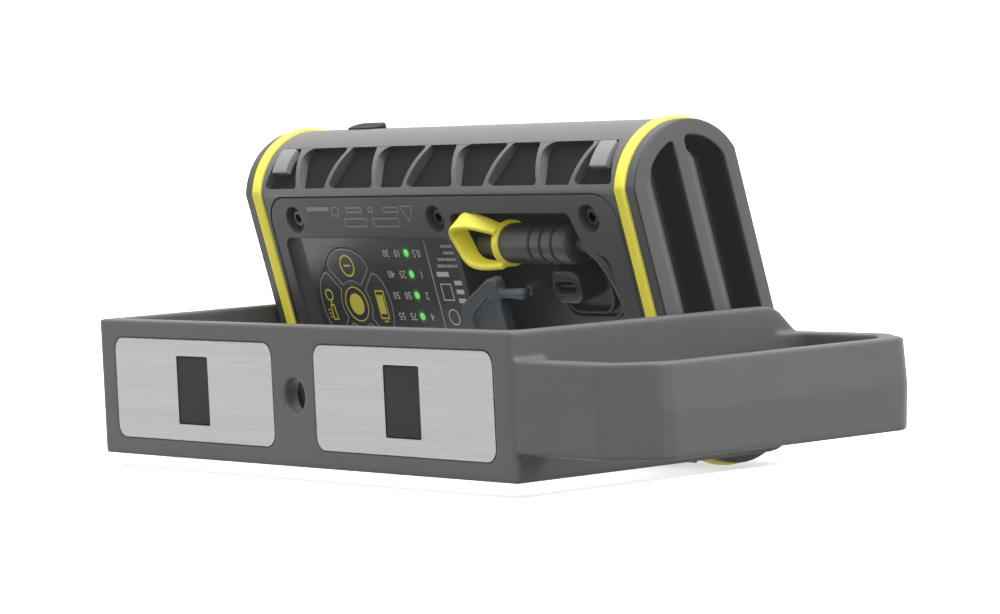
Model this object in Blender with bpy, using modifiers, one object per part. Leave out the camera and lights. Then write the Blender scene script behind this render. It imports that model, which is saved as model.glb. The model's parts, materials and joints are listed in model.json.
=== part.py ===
"""A rechargeable area work light: a lamp head that swivels in a magnetic bracket with a side handle.

World frame: +X runs along the magnet panel towards the handle, +Y from the panel back to the swivel,
+Z up. The origin is the middle of the panel's bottom face. Head pieces are modelled about the middle
of the head (x along it, y from the keypad side to the lens side, z up it) and hang on the empty
"head_swivel", which lies on the swivel axis and carries the tilt.
"""

import math

import bmesh
import bpy
from mathutils import Matrix, Vector

MM = 0.001

# Bracket
BRACKET_WIDTH = 187.0 * MM
BRACKET_HEIGHT = 38.0 * MM
PANEL_THICKNESS = 5.1 * MM
ARM_WALL = 5.0 * MM
ARM_LENGTH = 99.5 * MM
ARM_END_CHAMFER = 10.5 * MM
BRACKET_CORNER = 1.6 * MM
BRACKET_INSIDE_CORNER = 4.0 * MM
HANG_HOLE = 9.1 * MM

# Handle
HANDLE_REACH = 48.0 * MM
HANDLE_HEIGHT = 23.6 * MM
HANDLE_WALL = 6.0 * MM
HANDLE_CHAMFER = 12.0 * MM
HANDLE_INSIDE_CORNER = 8.0 * MM
HANDLE_DRAFT = 0.8 * MM
HANDLE_STEP = 0.6 * MM

# Magnet plates in the panel
PLATE_HEIGHT = 28.0 * MM
PLATE_THICKNESS = 0.8 * MM
PLATE_END_MARGIN = 8.1 * MM
PLATE_MIDDLE_GAP = 19.4 * MM
PLATE_CORNER = 3.6 * MM
PAD_LENGTH = 14.8 * MM
PAD_HEIGHT = 18.5 * MM
PAD_THICKNESS = 1.6 * MM
PAD_SUNK = 0.15 * MM
MAGNET_THICKNESS = 2.4 * MM
MAGNET_MARGIN = 3.0 * MM

# Swivel
SWIVEL_SETBACK = 80.6 * MM
HEAD_TILT = math.radians(14.8)
HEAD_ABOVE_SWIVEL = 24.5 * MM
ARM_TO_HEAD = 1.6 * MM
BOLT_SHANK = 8.0 * MM
BOLT_HEAD = 13.0 * MM
BOLT_HEAD_HEIGHT = 2.6 * MM
WASHER_DIAMETER = 17.0 * MM

# Head section
HEAD_HEIGHT = 92.6 * MM
HEAD_DEPTH = 36.3 * MM
HEAD_CROWN = 12.65 * MM
HEAD_WALL = 3.0 * MM
RING_WIDTH = 3.7 * MM
RING_PROUD = 0.8 * MM
CAP_RIM = 3.9 * MM
CAP_POCKET_DEPTH = 9.5 * MM
CAP_FLOOR = 1.5 * MM
CAP_BORDER = 4.3 * MM
CAP_RIB = 3.9 * MM
CAP_BOSS = 24.0 * MM
SOCKET_RELIEF = 0.1 * MM
SHELL_SPLIT = 4.0 * MM

# Truss of ribs along both crowns
TRUSS_RIBS = 8
TRUSS_END = 15.5 * MM
TRUSS_LEAN = 2.4 * MM
TRUSS_RIB = 1.8 * MM
TRUSS_DEPTH = 6.2 * MM
TRUSS_FLOOR = 1.0 * MM
TRUSS_NEAR = math.radians(27.0)
TRUSS_FAR = math.radians(65.0)
CLIP_WIDTH = 6.4 * MM
CLIP_PROUD = 0.9 * MM
CLIP_INSET = 1.2 * MM
NUB_LENGTH = 14.0 * MM
NUB_WIDTH = 6.0 * MM
NUB_PROUD = 0.8 * MM
NUB_OFFSET = 54.0 * MM
NUB_BACK = 6.5 * MM

# Rear cover
COVER_CROWN_MARGIN = 13.8 * MM
COVER_END_MARGIN = 1.6 * MM
COVER_THICKNESS = 1.9 * MM
COVER_CORNER = 8.0 * MM
COVER_LEDGE = 1.2 * MM
COVER_END_LEDGE = 2.6 * MM
WELL_DIAMETER = 7.6 * MM
WELL_DEPTH = 3.4 * MM
WELL_WALL = 0.8 * MM
WELL_END_INSET = 13.2 * MM
WELL_EDGE_INSET = 6.6 * MM
SCREW_HEAD = 4.8 * MM
SCREW_HEAD_HEIGHT = 1.7 * MM
SCREW_SHANK = 2.6 * MM
SCREW_LENGTH = 7.0 * MM
POST_DIAMETER = 6.6 * MM

# Keypad
KEYPAD_END_INSET = 8.4 * MM
KEYPAD_SUNK = 2.2 * MM
KEYPAD_THICKNESS = 1.5 * MM
KEYPAD_FLANGE = 0.6 * MM
KEYS_FROM_LEFT = 20.9 * MM
CENTRE_KEY = 11.0 * MM
SECTOR_INNER = 6.6 * MM
SECTOR_OUTER = 16.8 * MM
SECTOR_SPLIT = 1.3 * MM
KEY_CLEARANCE = 0.3 * MM
KEY_SLOT_DEPTH = 2.3 * MM
KEY_TRAVEL = 0.5 * MM
LAMP_PIPE = 2.2 * MM
LAMP_PIPES = 5
LAMP_PITCH = 6.2 * MM
LAMP_TOP = 15.4 * MM
LAMPS_FROM_KEYS = 29.3 * MM

# Lead pocket
POCKET_END_INSET = 9.1 * MM
POCKET_EDGE_INSET = 5.1 * MM
POCKET_TO_WELL = 0.7 * MM
POCKET_SHOULDER = 12.5 * MM
POCKET_SHOULDER_HEIGHT = 18.5 * MM
PLUG_TO_FLOOR = 3.7 * MM
PLUG_TO_WALL = 4.6 * MM
POCKET_WALL = 1.4 * MM
PLUG_DIAMETER = 11.2 * MM
PLUG_LENGTH = 40.0 * MM
PLUG_END_ROOM = 5.4 * MM
PLUG_GROOVE = 0.7 * MM
LEAD_DIAMETER = 3.6 * MM
LOOP_BAND = 5.6 * MM
LOOP_THICKNESS = 1.7 * MM
LOOP_COLLAR = 3.0 * MM
LOOP_REACH = 3.2 * MM
LOOP_PROUD = 0.6 * MM
PORT_LENGTH = 11.6 * MM
PORT_HEIGHT = 9.6 * MM
PORT_STANDOFF = 8.7 * MM
PORT_RISE = 4.6 * MM
PORT_BEFORE_TAIL = 11.1 * MM
FLAP_WIDTH = 17.0 * MM
FLAP_HEIGHT = 17.0 * MM
FLAP_THICKNESS = 3.6 * MM
FLAP_TO_LOOP = 0.7 * MM
FLAP_PEG_INSET = 2.9 * MM
LOOP_SWELL = 0.4 * MM
PEG_DIAMETER = 3.6 * MM
PEG_LENGTH = 8.4 * MM
ANCHOR_TO_PORT = 0.8 * MM

# Lens side and inside
LENS_CROWN_MARGIN = 14.3 * MM
LENS_END_MARGIN = 8.0 * MM
LENS_CORNER = 6.0 * MM
LENS_THICKNESS = 2.2 * MM
LENS_SUNK = 0.6 * MM
LENS_LIP = 2.0 * MM
GASKET_THICKNESS = 0.8 * MM
REFLECTOR_DEPTH = 2.6 * MM
REFLECTOR_RIM = 4.0 * MM
BOARD_THICKNESS = 1.6 * MM
EMITTER_THICKNESS = 0.6 * MM
EMITTER_HEIGHT = 17.0 * MM
SINK_THICKNESS = 2.0 * MM
CELLS = 3
CELL_DIAMETER = 18.3 * MM
CELL_END_MARGIN = 16.3 * MM
GAP = 0.3 * MM

# Worked out from the sizes above
PANEL_FRONT = -PANEL_THICKNESS / 2
MID_HEIGHT = BRACKET_HEIGHT / 2
BRACKET_END = PANEL_FRONT + ARM_LENGTH
ARM_OUTSIDE = BRACKET_WIDTH / 2
ARM_INSIDE = ARM_OUTSIDE - ARM_WALL
PLATE_LENGTH = ARM_OUTSIDE - PLATE_END_MARGIN - PLATE_MIDDLE_GAP / 2
PLATE_CENTRE = (PLATE_MIDDLE_GAP + PLATE_LENGTH) / 2
SWIVEL_Y = PANEL_FRONT + SWIVEL_SETBACK
HEAD_END = ARM_INSIDE - ARM_TO_HEAD
CAP_INNER = HEAD_END - CAP_RIM
RING_INNER = CAP_INNER - GAP - RING_WIDTH
SHELL_END = RING_INNER - GAP
PLUG_IN_END = HEAD_END - CAP_POCKET_DEPTH - CAP_FLOOR
HALF_DEPTH = HEAD_DEPTH / 2
CROWN_RADIUS = (HALF_DEPTH**2 + HEAD_CROWN**2) / (2 * HEAD_CROWN)
CROWN_CENTRE = HEAD_HEIGHT / 2 - CROWN_RADIUS
COVER_HALF = SHELL_END - COVER_END_MARGIN
COVER_HEIGHT = HEAD_HEIGHT - 2 * COVER_CROWN_MARGIN
COVER_BACK = -HALF_DEPTH + COVER_THICKNESS
WELL_X = SHELL_END - WELL_END_INSET
WELL_RISE = COVER_HEIGHT / 2 - WELL_EDGE_INSET
CUP_RADIUS = WELL_DIAMETER / 2 + WELL_WALL
WELL_FLOOR = -HALF_DEPTH + WELL_DEPTH
POST_TOP = WELL_FLOOR + WELL_WALL + GAP
KEYPAD_LEFT = -SHELL_END + KEYPAD_END_INSET
KEYPAD_HEIGHT = 2 * (WELL_RISE - CUP_RADIUS - GAP - KEYPAD_FLANGE)
KEYPAD_FACE = -HALF_DEPTH + KEYPAD_SUNK
KEYPAD_BACK = KEYPAD_FACE + KEYPAD_THICKNESS
KEYS_X = KEYPAD_LEFT + KEYS_FROM_LEFT
LAMPS_X = KEYS_X + LAMPS_FROM_KEYS
POCKET_LEFT = CUP_RADIUS + POCKET_TO_WELL + POCKET_WALL
POCKET_RIGHT = SHELL_END - POCKET_END_INSET
POCKET_HALF_HEIGHT = COVER_HEIGHT / 2 - POCKET_EDGE_INSET
KEYPAD_RIGHT = POCKET_LEFT - POCKET_WALL - GAP - KEYPAD_FLANGE
PLUG_Y = -HALF_DEPTH + PLUG_DIAMETER / 2 + GAP
PLUG_LEFT = POCKET_LEFT + PLUG_END_ROOM
PLUG_RISE = POCKET_HALF_HEIGHT - PLUG_DIAMETER / 2 - PLUG_TO_WALL
POCKET_FLOOR = PLUG_Y + PLUG_DIAMETER / 2 + PLUG_TO_FLOOR
LOOP_HALF = PLUG_DIAMETER / 2 + GAP + LOOP_THICKNESS
PORT_X = PLUG_LEFT + PLUG_LENGTH - PORT_BEFORE_TAIL
ANCHOR_X = PORT_X - PORT_LENGTH / 2 - PEG_DIAMETER / 2 - ANCHOR_TO_PORT
FLAP_TOP = PLUG_RISE - LOOP_HALF - LOOP_SWELL - FLAP_TO_LOOP
FLAP_RISE = FLAP_TOP - FLAP_HEIGHT / 2
ANCHOR_Z = FLAP_TOP - FLAP_PEG_INSET
FLAP_X = -PEG_LENGTH - FLAP_WIDTH / 2
FLAP_Y = -HALF_DEPTH - GAP - FLAP_THICKNESS / 2
LENS_HALF = SHELL_END - LENS_END_MARGIN
LENS_HEIGHT = HEAD_HEIGHT - 2 * LENS_CROWN_MARGIN
LENS_FACE = HALF_DEPTH - LENS_SUNK
LENS_BACK = LENS_FACE - LENS_THICKNESS
GASKET_BACK = LENS_BACK - GAP - GASKET_THICKNESS
BOARD_FACE = GASKET_BACK - GAP - REFLECTOR_DEPTH - GAP
BOARD_BACK = BOARD_FACE - BOARD_THICKNESS
SINK_FACE = BOARD_BACK - GAP
SINK_BACK = SINK_FACE - SINK_THICKNESS
CELL_LENGTH = HEAD_HEIGHT - 2 * CELL_END_MARGIN

CROWN_STEPS = 16
ROUND_STEPS = 32
CORNER_STEPS = 4


# ---------------------------------------------------------------- scene and materials

def clear_scene():
    for obj in list(bpy.data.objects):
        bpy.data.objects.remove(obj)


def new_collection(name):
    collection = bpy.data.collections.new(name)
    bpy.context.scene.collection.children.link(collection)
    return collection


def material(name, colour, roughness, metallic=0.0):
    made = bpy.data.materials.new(name)
    made.use_nodes = True
    shader = made.node_tree.nodes["Principled BSDF"]
    shader.inputs["Base Color"].default_value = (*colour, 1.0)
    shader.inputs["Roughness"].default_value = roughness
    shader.inputs["Metallic"].default_value = metallic
    return made


clear_scene()
PARTS = new_collection("work_light")
CUTTERS = new_collection("cutters")

GREY_PLASTIC = material("grey_plastic", (0.12, 0.12, 0.12), 0.55)
DARK_PLASTIC = material("dark_plastic", (0.035, 0.035, 0.036), 0.5)
BLACK_PLASTIC = material("black_plastic", (0.015, 0.015, 0.016), 0.6)
CLIP_PLASTIC = material("clip_plastic", (0.28, 0.28, 0.28), 0.5)
BRUSHED_STEEL = material("brushed_steel", (0.55, 0.55, 0.55), 0.35, 1.0)
BOLT_STEEL = material("bolt_steel", (0.4, 0.4, 0.42), 0.3, 1.0)
BLACK_STEEL = material("black_steel", (0.03, 0.03, 0.03), 0.4, 1.0)
MAGNET = material("magnet_nickel", (0.5, 0.5, 0.48), 0.3, 1.0)
DARK_RUBBER = material("dark_rubber", (0.03, 0.03, 0.03), 0.8)
YELLOW_RUBBER = material("yellow_rubber", (0.72, 0.66, 0.06), 0.6)
BLUE_GREY_RUBBER = material("blue_grey_rubber", (0.11, 0.13, 0.14), 0.6)
KEY_FILM = material("key_film", (0.03, 0.03, 0.03), 0.35)
PIPE_GREEN = material("pipe_green", (0.25, 0.85, 0.25), 0.3)
LENS_CLEAR = material("lens_clear", (0.85, 0.87, 0.87), 0.3)
REFLECTOR_WHITE = material("reflector_white", (0.85, 0.85, 0.85), 0.3)
BOARD_GREEN = material("board_green", (0.02, 0.12, 0.05), 0.5)
BOARD_WHITE = material("board_white", (0.8, 0.8, 0.8), 0.4)
EMITTER_YELLOW = material("emitter_yellow", (0.85, 0.7, 0.15), 0.5)
SINK_ALUMINIUM = material("sink_aluminium", (0.08, 0.08, 0.085), 0.5, 1.0)
CELL_WRAP = material("cell_wrap", (0.03, 0.15, 0.4), 0.4)


# ---------------------------------------------------------------- outlines

def arc(centre_x, centre_y, radius, start, end, steps):
    angles = [start + (end - start) * i / steps for i in range(steps + 1)]
    return [(centre_x + radius * math.cos(a), centre_y + radius * math.sin(a)) for a in angles]


def circle(centre_x, centre_y, diameter, steps=ROUND_STEPS):
    return arc(centre_x, centre_y, diameter / 2, 0, 2 * math.pi, steps)[:-1]


def rounded(corners, radius, steps=CORNER_STEPS):
    """The closed outline through these corners, each rounded by its radius."""
    radii = radius if isinstance(radius, (list, tuple)) else [radius] * len(corners)
    outline = []
    for i, (corner, r) in enumerate(zip(corners, radii)):
        here = Vector(corner)
        before = (Vector(corners[i - 1]) - here).normalized()
        after = (Vector(corners[(i + 1) % len(corners)]) - here).normalized()
        if r <= 0:
            outline.append(tuple(here))
            continue
        half_angle = before.angle(after) / 2
        middle = here + (before + after).normalized() * (r / math.sin(half_angle))
        start = here + before * (r / math.tan(half_angle)) - middle
        end = here + after * (r / math.tan(half_angle)) - middle
        turn = start.angle_signed(end)
        for k in range(steps + 1):
            outline.append(tuple(middle + Matrix.Rotation(-turn * k / steps, 2) @ start))
    return outline


def rectangle(low_x, low_y, high_x, high_y):
    return [(low_x, low_y), (high_x, low_y), (high_x, high_y), (low_x, high_y)]


def rounded_rectangle(width, height, radius, centre=(0, 0)):
    x, y = centre
    return rounded(rectangle(x - width / 2, y - height / 2, x + width / 2, y + height / 2), radius)


def crown_arc(offset, start, end, steps=CROWN_STEPS):
    """Points (y, z) of the top crown, at angles from straight up, positive towards the lens side."""
    radius = CROWN_RADIUS + offset
    angles = [start + (end - start) * i / steps for i in range(steps + 1)]
    return [(radius * math.sin(a), CROWN_CENTRE + radius * math.cos(a)) for a in angles]


def crown_spread(offset):
    return math.asin((HALF_DEPTH + offset) / (CROWN_RADIUS + offset))


def upside_down(points):
    return [(y, -z) for y, z in reversed(points)]


def head_outline(offset=0.0):
    """The head's section (y, z): flat sides and a crown at each end, grown outwards by offset."""
    spread = crown_spread(offset)
    top = crown_arc(offset, spread, -spread)
    return top + upside_down(top)


def band_direction():
    middle = (TRUSS_NEAR + TRUSS_FAR) / 2
    return Vector((-math.sin(middle), math.cos(middle)))


def rear_shell_outline():
    """The rear shell's section (y, z), open to the lens side, thick where the truss windows are."""
    outer = crown_arc(0.0, math.asin(SHELL_SPLIT / CROWN_RADIUS), -crown_spread(0.0))
    inner_radius = CROWN_RADIUS - HEAD_WALL
    chord = CROWN_RADIUS - TRUSS_DEPTH
    direction = band_direction()
    chord_start = math.acos(chord / inner_radius) - (TRUSS_NEAR + TRUSS_FAR) / 2
    inner = crown_arc(-HEAD_WALL, chord_start, math.asin(SHELL_SPLIT / inner_radius), 4)
    inner_y = -HALF_DEPTH + HEAD_WALL
    inner_z = CROWN_CENTRE + (chord - direction.x * inner_y) / direction.y
    half_inner = [(inner_y, inner_z)] + inner
    return outer + upside_down(outer) + upside_down(half_inner) + half_inner


def front_shell_outline():
    """The front shell's section (y, z), open to the back."""
    start = SHELL_SPLIT + GAP
    outer = crown_arc(0.0, crown_spread(0.0), math.asin(start / CROWN_RADIUS))
    inner_radius = CROWN_RADIUS - HEAD_WALL
    spread = crown_spread(-HEAD_WALL)
    inner = crown_arc(-HEAD_WALL, math.asin(start / inner_radius), spread)
    return outer + inner + upside_down(inner) + upside_down(outer)


# ---------------------------------------------------------------- solids

PLANES = {
    "XY": Matrix.Identity(4),
    "YZ": Matrix(((0, 0, 1, 0), (1, 0, 0, 0), (0, 1, 0, 0), (0, 0, 0, 1))),
    "XZ": Matrix(((1, 0, 0, 0), (0, 0, -1, 0), (0, 1, 0, 0), (0, 0, 0, 1))),
}
NORMAL_SIGN = {"XY": 1, "YZ": 1, "XZ": -1}


def extruded(outlines, low, high, plane):
    """A mesh with these outlines, holes after the first, from low to high along the plane's normal."""
    curve = bpy.data.curves.new("outline", "CURVE")
    curve.dimensions = "2D"
    curve.fill_mode = "BOTH"
    curve.extrude = (high - low) / 2
    for outline in outlines:
        spline = curve.splines.new("POLY")
        spline.points.add(len(outline) - 1)
        spline.use_cyclic_u = True
        for point, (x, y) in zip(spline.points, outline):
            point.co = (x, y, 0, 1)
    guide = bpy.data.objects.new("outline", curve)
    PARTS.objects.link(guide)
    graph = bpy.context.evaluated_depsgraph_get()
    mesh = bpy.data.meshes.new_from_object(guide.evaluated_get(graph))
    bpy.data.objects.remove(guide)
    move = Matrix.Translation((0, 0, NORMAL_SIGN[plane] * (low + high) / 2))
    return welded(mesh, PLANES[plane] @ move)


def welded(mesh, transform):
    bm = bmesh.new()
    bm.from_mesh(mesh)
    bmesh.ops.remove_doubles(bm, verts=bm.verts, dist=0.001 * MM)
    bmesh.ops.transform(bm, matrix=transform, verts=bm.verts)
    bmesh.ops.recalc_face_normals(bm, faces=bm.faces)
    bm.to_mesh(mesh)
    bm.free()
    return mesh


def box(low, high):
    mesh = bpy.data.meshes.new("box")
    bm = bmesh.new()
    bmesh.ops.create_cube(bm, size=1.0)
    low, high = Vector(low), Vector(high)
    bmesh.ops.scale(bm, vec=high - low, verts=bm.verts)
    bmesh.ops.translate(bm, vec=(low + high) / 2, verts=bm.verts)
    bm.to_mesh(mesh)
    bm.free()
    return mesh


def cylinder(diameter, low, high, axis, centre=(0, 0), steps=ROUND_STEPS):
    """A round bar from low to high along the axis X or Y, centred on its other two coordinates."""
    mesh = bpy.data.meshes.new("cylinder")
    bm = bmesh.new()
    bmesh.ops.create_cone(bm, cap_ends=True, segments=steps, radius1=diameter / 2,
                          radius2=diameter / 2, depth=high - low)
    middle = (low + high) / 2
    turn = Matrix.Rotation(math.pi / 2, 4, "Y" if axis == "X" else "X")
    place = (middle, *centre) if axis == "X" else (centre[0], middle, centre[1])
    bmesh.ops.transform(bm, matrix=Matrix.Translation(place) @ turn, verts=bm.verts)
    bm.to_mesh(mesh)
    bm.free()
    return mesh


def together(meshes):
    """One mesh of several that don't touch, to cut with in one go."""
    joined = bpy.data.meshes.new("together")
    bm = bmesh.new()
    for mesh in meshes:
        bm.from_mesh(mesh)
    bm.to_mesh(joined)
    bm.free()
    return joined


def add(name, mesh, shade, parent=None, location=(0, 0, 0), collection=PARTS):
    obj = bpy.data.objects.new(name, mesh)
    collection.objects.link(obj)
    obj.parent = parent
    obj.location = location
    if shade:
        mesh.materials.clear()
        mesh.materials.append(shade)
        mesh.shade_smooth()
        mesh.set_sharp_from_angle(angle=math.radians(35))
    return obj


def combine(obj, mesh, operation):
    """Cuts the mesh from obj, joins it to obj or keeps what they share."""
    tool = add(f"{obj.name}_{operation.lower()}", mesh, None, obj.parent, obj.location, CUTTERS)
    tool.hide_render = True
    tool.display_type = "WIRE"
    modifier = obj.modifiers.new(operation.title(), "BOOLEAN")
    modifier.operation = operation
    modifier.solver = "EXACT"
    modifier.object = tool


def cut(obj, *meshes):
    combine(obj, together(meshes), "DIFFERENCE")


def join(obj, mesh):
    combine(obj, mesh, "UNION")


def mirrored(mesh):
    """The same mesh on the other side of the plane x = 0."""
    copy = mesh.copy()
    bm = bmesh.new()
    bm.from_mesh(copy)
    bmesh.ops.scale(bm, vec=(-1, 1, 1), verts=bm.verts)
    bmesh.ops.reverse_faces(bm, faces=bm.faces)
    bm.to_mesh(copy)
    bm.free()
    return copy


def both_sides(mesh):
    return (("left", mirrored(mesh)), ("right", mesh))


def empty(name, parent, location, rotation=(0, 0, 0)):
    made = bpy.data.objects.new(name, None)
    PARTS.objects.link(made)
    made.parent = parent
    made.location = location
    made.rotation_euler = rotation
    return made


SWIVEL = empty("head_swivel", None, (0, SWIVEL_Y, MID_HEIGHT), (HEAD_TILT, 0, 0))
HEAD = empty("head_middle", SWIVEL, (0, 0, HEAD_ABOVE_SWIVEL))


# ---------------------------------------------------------------- bracket

def bracket_plan():
    """The panel and both arms seen from above, the arms run past their ends."""
    end = BRACKET_END + ARM_WALL
    outside = rectangle(-ARM_OUTSIDE, PANEL_FRONT, ARM_OUTSIDE, end)
    inner_y = PANEL_FRONT + PANEL_THICKNESS
    inside = [(ARM_INSIDE, end), (ARM_INSIDE, inner_y), (-ARM_INSIDE, inner_y), (-ARM_INSIDE, end)]
    corners = outside[:3] + inside + outside[3:]
    radii = [BRACKET_CORNER, BRACKET_CORNER, 0, 0, BRACKET_INSIDE_CORNER, BRACKET_INSIDE_CORNER, 0, 0]
    return rounded(corners, radii)


def arm_profile():
    """An arm seen from its side: its free end is chamfered above and below."""
    start = PANEL_FRONT - PANEL_THICKNESS
    shoulder = BRACKET_END - ARM_END_CHAMFER
    corners = [(start, 0), (shoulder, 0), (BRACKET_END, ARM_END_CHAMFER),
               (BRACKET_END, BRACKET_HEIGHT - ARM_END_CHAMFER), (shoulder, BRACKET_HEIGHT),
               (start, BRACKET_HEIGHT)]
    soft = ARM_END_CHAMFER * 0.7
    return rounded(corners, [0, soft, soft / 2, soft / 2, soft, 0], 5)


def handle_plan():
    """The handle's outline and its finger hole, seen from above."""
    far = ARM_OUTSIDE + HANDLE_REACH
    root = ARM_OUTSIDE - ARM_WALL / 2
    cut_back = HANDLE_CHAMFER
    front, rear = PANEL_FRONT + HANDLE_STEP, BRACKET_END - HANDLE_STEP
    outline = [(root, front), (far - cut_back, front), (far, front + cut_back),
               (far, rear - cut_back), (far - cut_back, rear), (root, rear)]
    wall = HANDLE_WALL
    hole_left = ARM_OUTSIDE - BRACKET_CORNER / 3
    near, back, right = front + wall, rear - wall, far - wall
    inner_cut = cut_back - wall * (2 - math.sqrt(2))
    hole = [(hole_left, near), (right - inner_cut, near), (right, near + inner_cut),
            (right, back - inner_cut), (right - inner_cut, back), (hole_left, back)]
    soft = HANDLE_INSIDE_CORNER
    return (rounded(outline, [0, 3 * MM, 3 * MM, 3 * MM, 3 * MM, 0]),
            rounded(hole, [soft, 5 * MM, 5 * MM, 5 * MM, 5 * MM, soft]))


def drafted_handle():
    """The handle's mesh, whose outer face leans in above and below its middle."""
    low, high = MID_HEIGHT - HANDLE_HEIGHT / 2, MID_HEIGHT + HANDLE_HEIGHT / 2
    mesh = extruded(handle_plan(), low, high, "XY")
    bm = bmesh.new()
    bm.from_mesh(mesh)
    geometry = bm.verts[:] + bm.edges[:] + bm.faces[:]
    bmesh.ops.bisect_plane(bm, geom=geometry, plane_co=(0, 0, MID_HEIGHT), plane_no=(0, 0, 1))
    outer = ARM_OUTSIDE + HANDLE_REACH - HANDLE_WALL * 0.6
    for vert in bm.verts:
        if vert.co.x > outer and abs(vert.co.z - MID_HEIGHT) > HANDLE_HEIGHT / 4:
            vert.co.x -= HANDLE_DRAFT
    bm.to_mesh(mesh)
    bm.free()
    return mesh


def plate_recess(side):
    plate = rounded_rectangle(PLATE_LENGTH + 2 * GAP, PLATE_HEIGHT + 2 * GAP, PLATE_CORNER + GAP,
                              (side * PLATE_CENTRE, MID_HEIGHT))
    back = PANEL_FRONT + PLATE_THICKNESS + GAP
    return extruded([plate], PANEL_FRONT - PANEL_THICKNESS, back, "XZ")


def magnet_recess(side):
    length = PLATE_LENGTH - 2 * MAGNET_MARGIN + 2 * GAP
    height = PLATE_HEIGHT - 2 * MAGNET_MARGIN + 2 * GAP
    back = PANEL_FRONT + PLATE_THICKNESS + GAP + MAGNET_THICKNESS + GAP
    x = side * PLATE_CENTRE
    return box((x - length / 2, PANEL_FRONT - PANEL_THICKNESS, MID_HEIGHT - height / 2),
               (x + length / 2, back, MID_HEIGHT + height / 2))


def bolt_hole(side):
    """A shank hole through one arm, with a step outside for the bolt head."""
    step = BOLT_HEAD_HEIGHT + GAP
    centre = (SWIVEL_Y, MID_HEIGHT)
    ends = sorted((side * (ARM_INSIDE - ARM_WALL), side * (ARM_OUTSIDE - step / 2)))
    shank = cylinder(BOLT_SHANK + 2 * GAP, *ends, "X", centre)
    ends = sorted((side * (ARM_OUTSIDE - step), side * (ARM_OUTSIDE + 3 * MM)))
    return shank, cylinder(BOLT_HEAD + 2 * GAP, *ends, "X", centre)


def make_bracket():
    plan = extruded([bracket_plan()], -ARM_WALL, BRACKET_HEIGHT + ARM_WALL, "XY")
    bracket = add("bracket_frame", plan, GREY_PLASTIC)
    combine(bracket, extruded([arm_profile()], -BRACKET_WIDTH, BRACKET_WIDTH, "YZ"), "INTERSECT")
    join(bracket, drafted_handle())
    cut(bracket, plate_recess(-1), plate_recess(1))
    cut(bracket, magnet_recess(-1), magnet_recess(1))
    hang_hole = cylinder(HANG_HOLE, PANEL_FRONT - PANEL_THICKNESS, PANEL_FRONT + 2 * PANEL_THICKNESS,
                         "Y", (0, MID_HEIGHT))
    shank_left, head_left = bolt_hole(-1)
    shank_right, head_right = bolt_hole(1)
    cut(bracket, hang_hole, shank_left, shank_right)
    cut(bracket, head_left, head_right)


def make_magnets():
    for name, side in (("left", -1), ("right", 1)):
        centre = (side * PLATE_CENTRE, MID_HEIGHT)
        window = rounded_rectangle(PAD_LENGTH + 2 * GAP, PAD_HEIGHT + 2 * GAP, 0.8 * MM, centre)
        plate = rounded_rectangle(PLATE_LENGTH, PLATE_HEIGHT, PLATE_CORNER, centre)
        back = PANEL_FRONT + PLATE_THICKNESS
        add(f"magnet_plate_{name}", extruded([plate, window], PANEL_FRONT, back, "XZ"), BRUSHED_STEEL)
        pad = rounded_rectangle(PAD_LENGTH, PAD_HEIGHT, 0.6 * MM, centre)
        add(f"magnet_pad_{name}",
            extruded([pad], PANEL_FRONT + PAD_SUNK, back + PAD_THICKNESS, "XZ"), DARK_RUBBER)
        make_magnet(name, centre, back + GAP)


def make_magnet(name, centre, front):
    """A flat magnet behind a plate, with a hole for the rubber pad's foot."""
    length, height = PLATE_LENGTH - 2 * MAGNET_MARGIN, PLATE_HEIGHT - 2 * MAGNET_MARGIN
    x, z = centre
    body = rectangle(x - length / 2, z - height / 2, x + length / 2, z + height / 2)
    half_x, half_z = PAD_LENGTH / 2 + GAP, PAD_HEIGHT / 2 + GAP
    hole = rectangle(x - half_x, z - half_z, x + half_x, z + half_z)
    add(f"magnet_{name}", extruded([body, hole], front, front + MAGNET_THICKNESS, "XZ"), MAGNET)


def make_swivel_hardware():
    centre = (SWIVEL_Y, MID_HEIGHT)
    head_low = ARM_OUTSIDE - BOLT_HEAD_HEIGHT
    tip = PLUG_IN_END + 2 * MM
    for name, mesh in both_sides(cylinder(BOLT_SHANK, tip, head_low + GAP, "X", centre)):
        bolt = add(f"swivel_bolt_{name}", mesh, BOLT_STEEL)
        side = -1 if name == "left" else 1
        ends = sorted((side * head_low, side * ARM_OUTSIDE))
        join(bolt, cylinder(BOLT_HEAD, *ends, "X", centre))
    rings = [circle(*centre, WASHER_DIAMETER), circle(*centre, BOLT_SHANK + 2 * GAP)]
    washer = extruded(rings, HEAD_END + GAP, ARM_INSIDE - GAP, "YZ")
    for name, mesh in both_sides(washer):
        add(f"friction_washer_{name}", mesh, DARK_RUBBER)


# ---------------------------------------------------------------- head ends

def cap_slot(side):
    """One long window of an end cap (y, z): it follows the crown and stops above the swivel boss."""
    inner = CAP_RIB / 2
    outer = HALF_DEPTH - CAP_BORDER
    radius = CROWN_RADIUS - CAP_BORDER
    foot = -HEAD_ABOVE_SWIVEL + CAP_BOSS / 2 + 1.5 * MM
    start, end = math.asin(outer / radius), math.asin(inner / radius)
    top = [(radius * math.sin(a), CROWN_CENTRE + radius * math.cos(a))
           for a in (start + (end - start) * i / 6 for i in range(7))]
    corners = [(outer, foot)] + top + [(inner, foot)]
    radii = [2 * MM] + [0] * 6 + [1.6 * MM, 2 * MM]
    outline = rounded(corners, radii, 3)
    return outline if side > 0 else [(-y, z) for y, z in outline]


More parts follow.
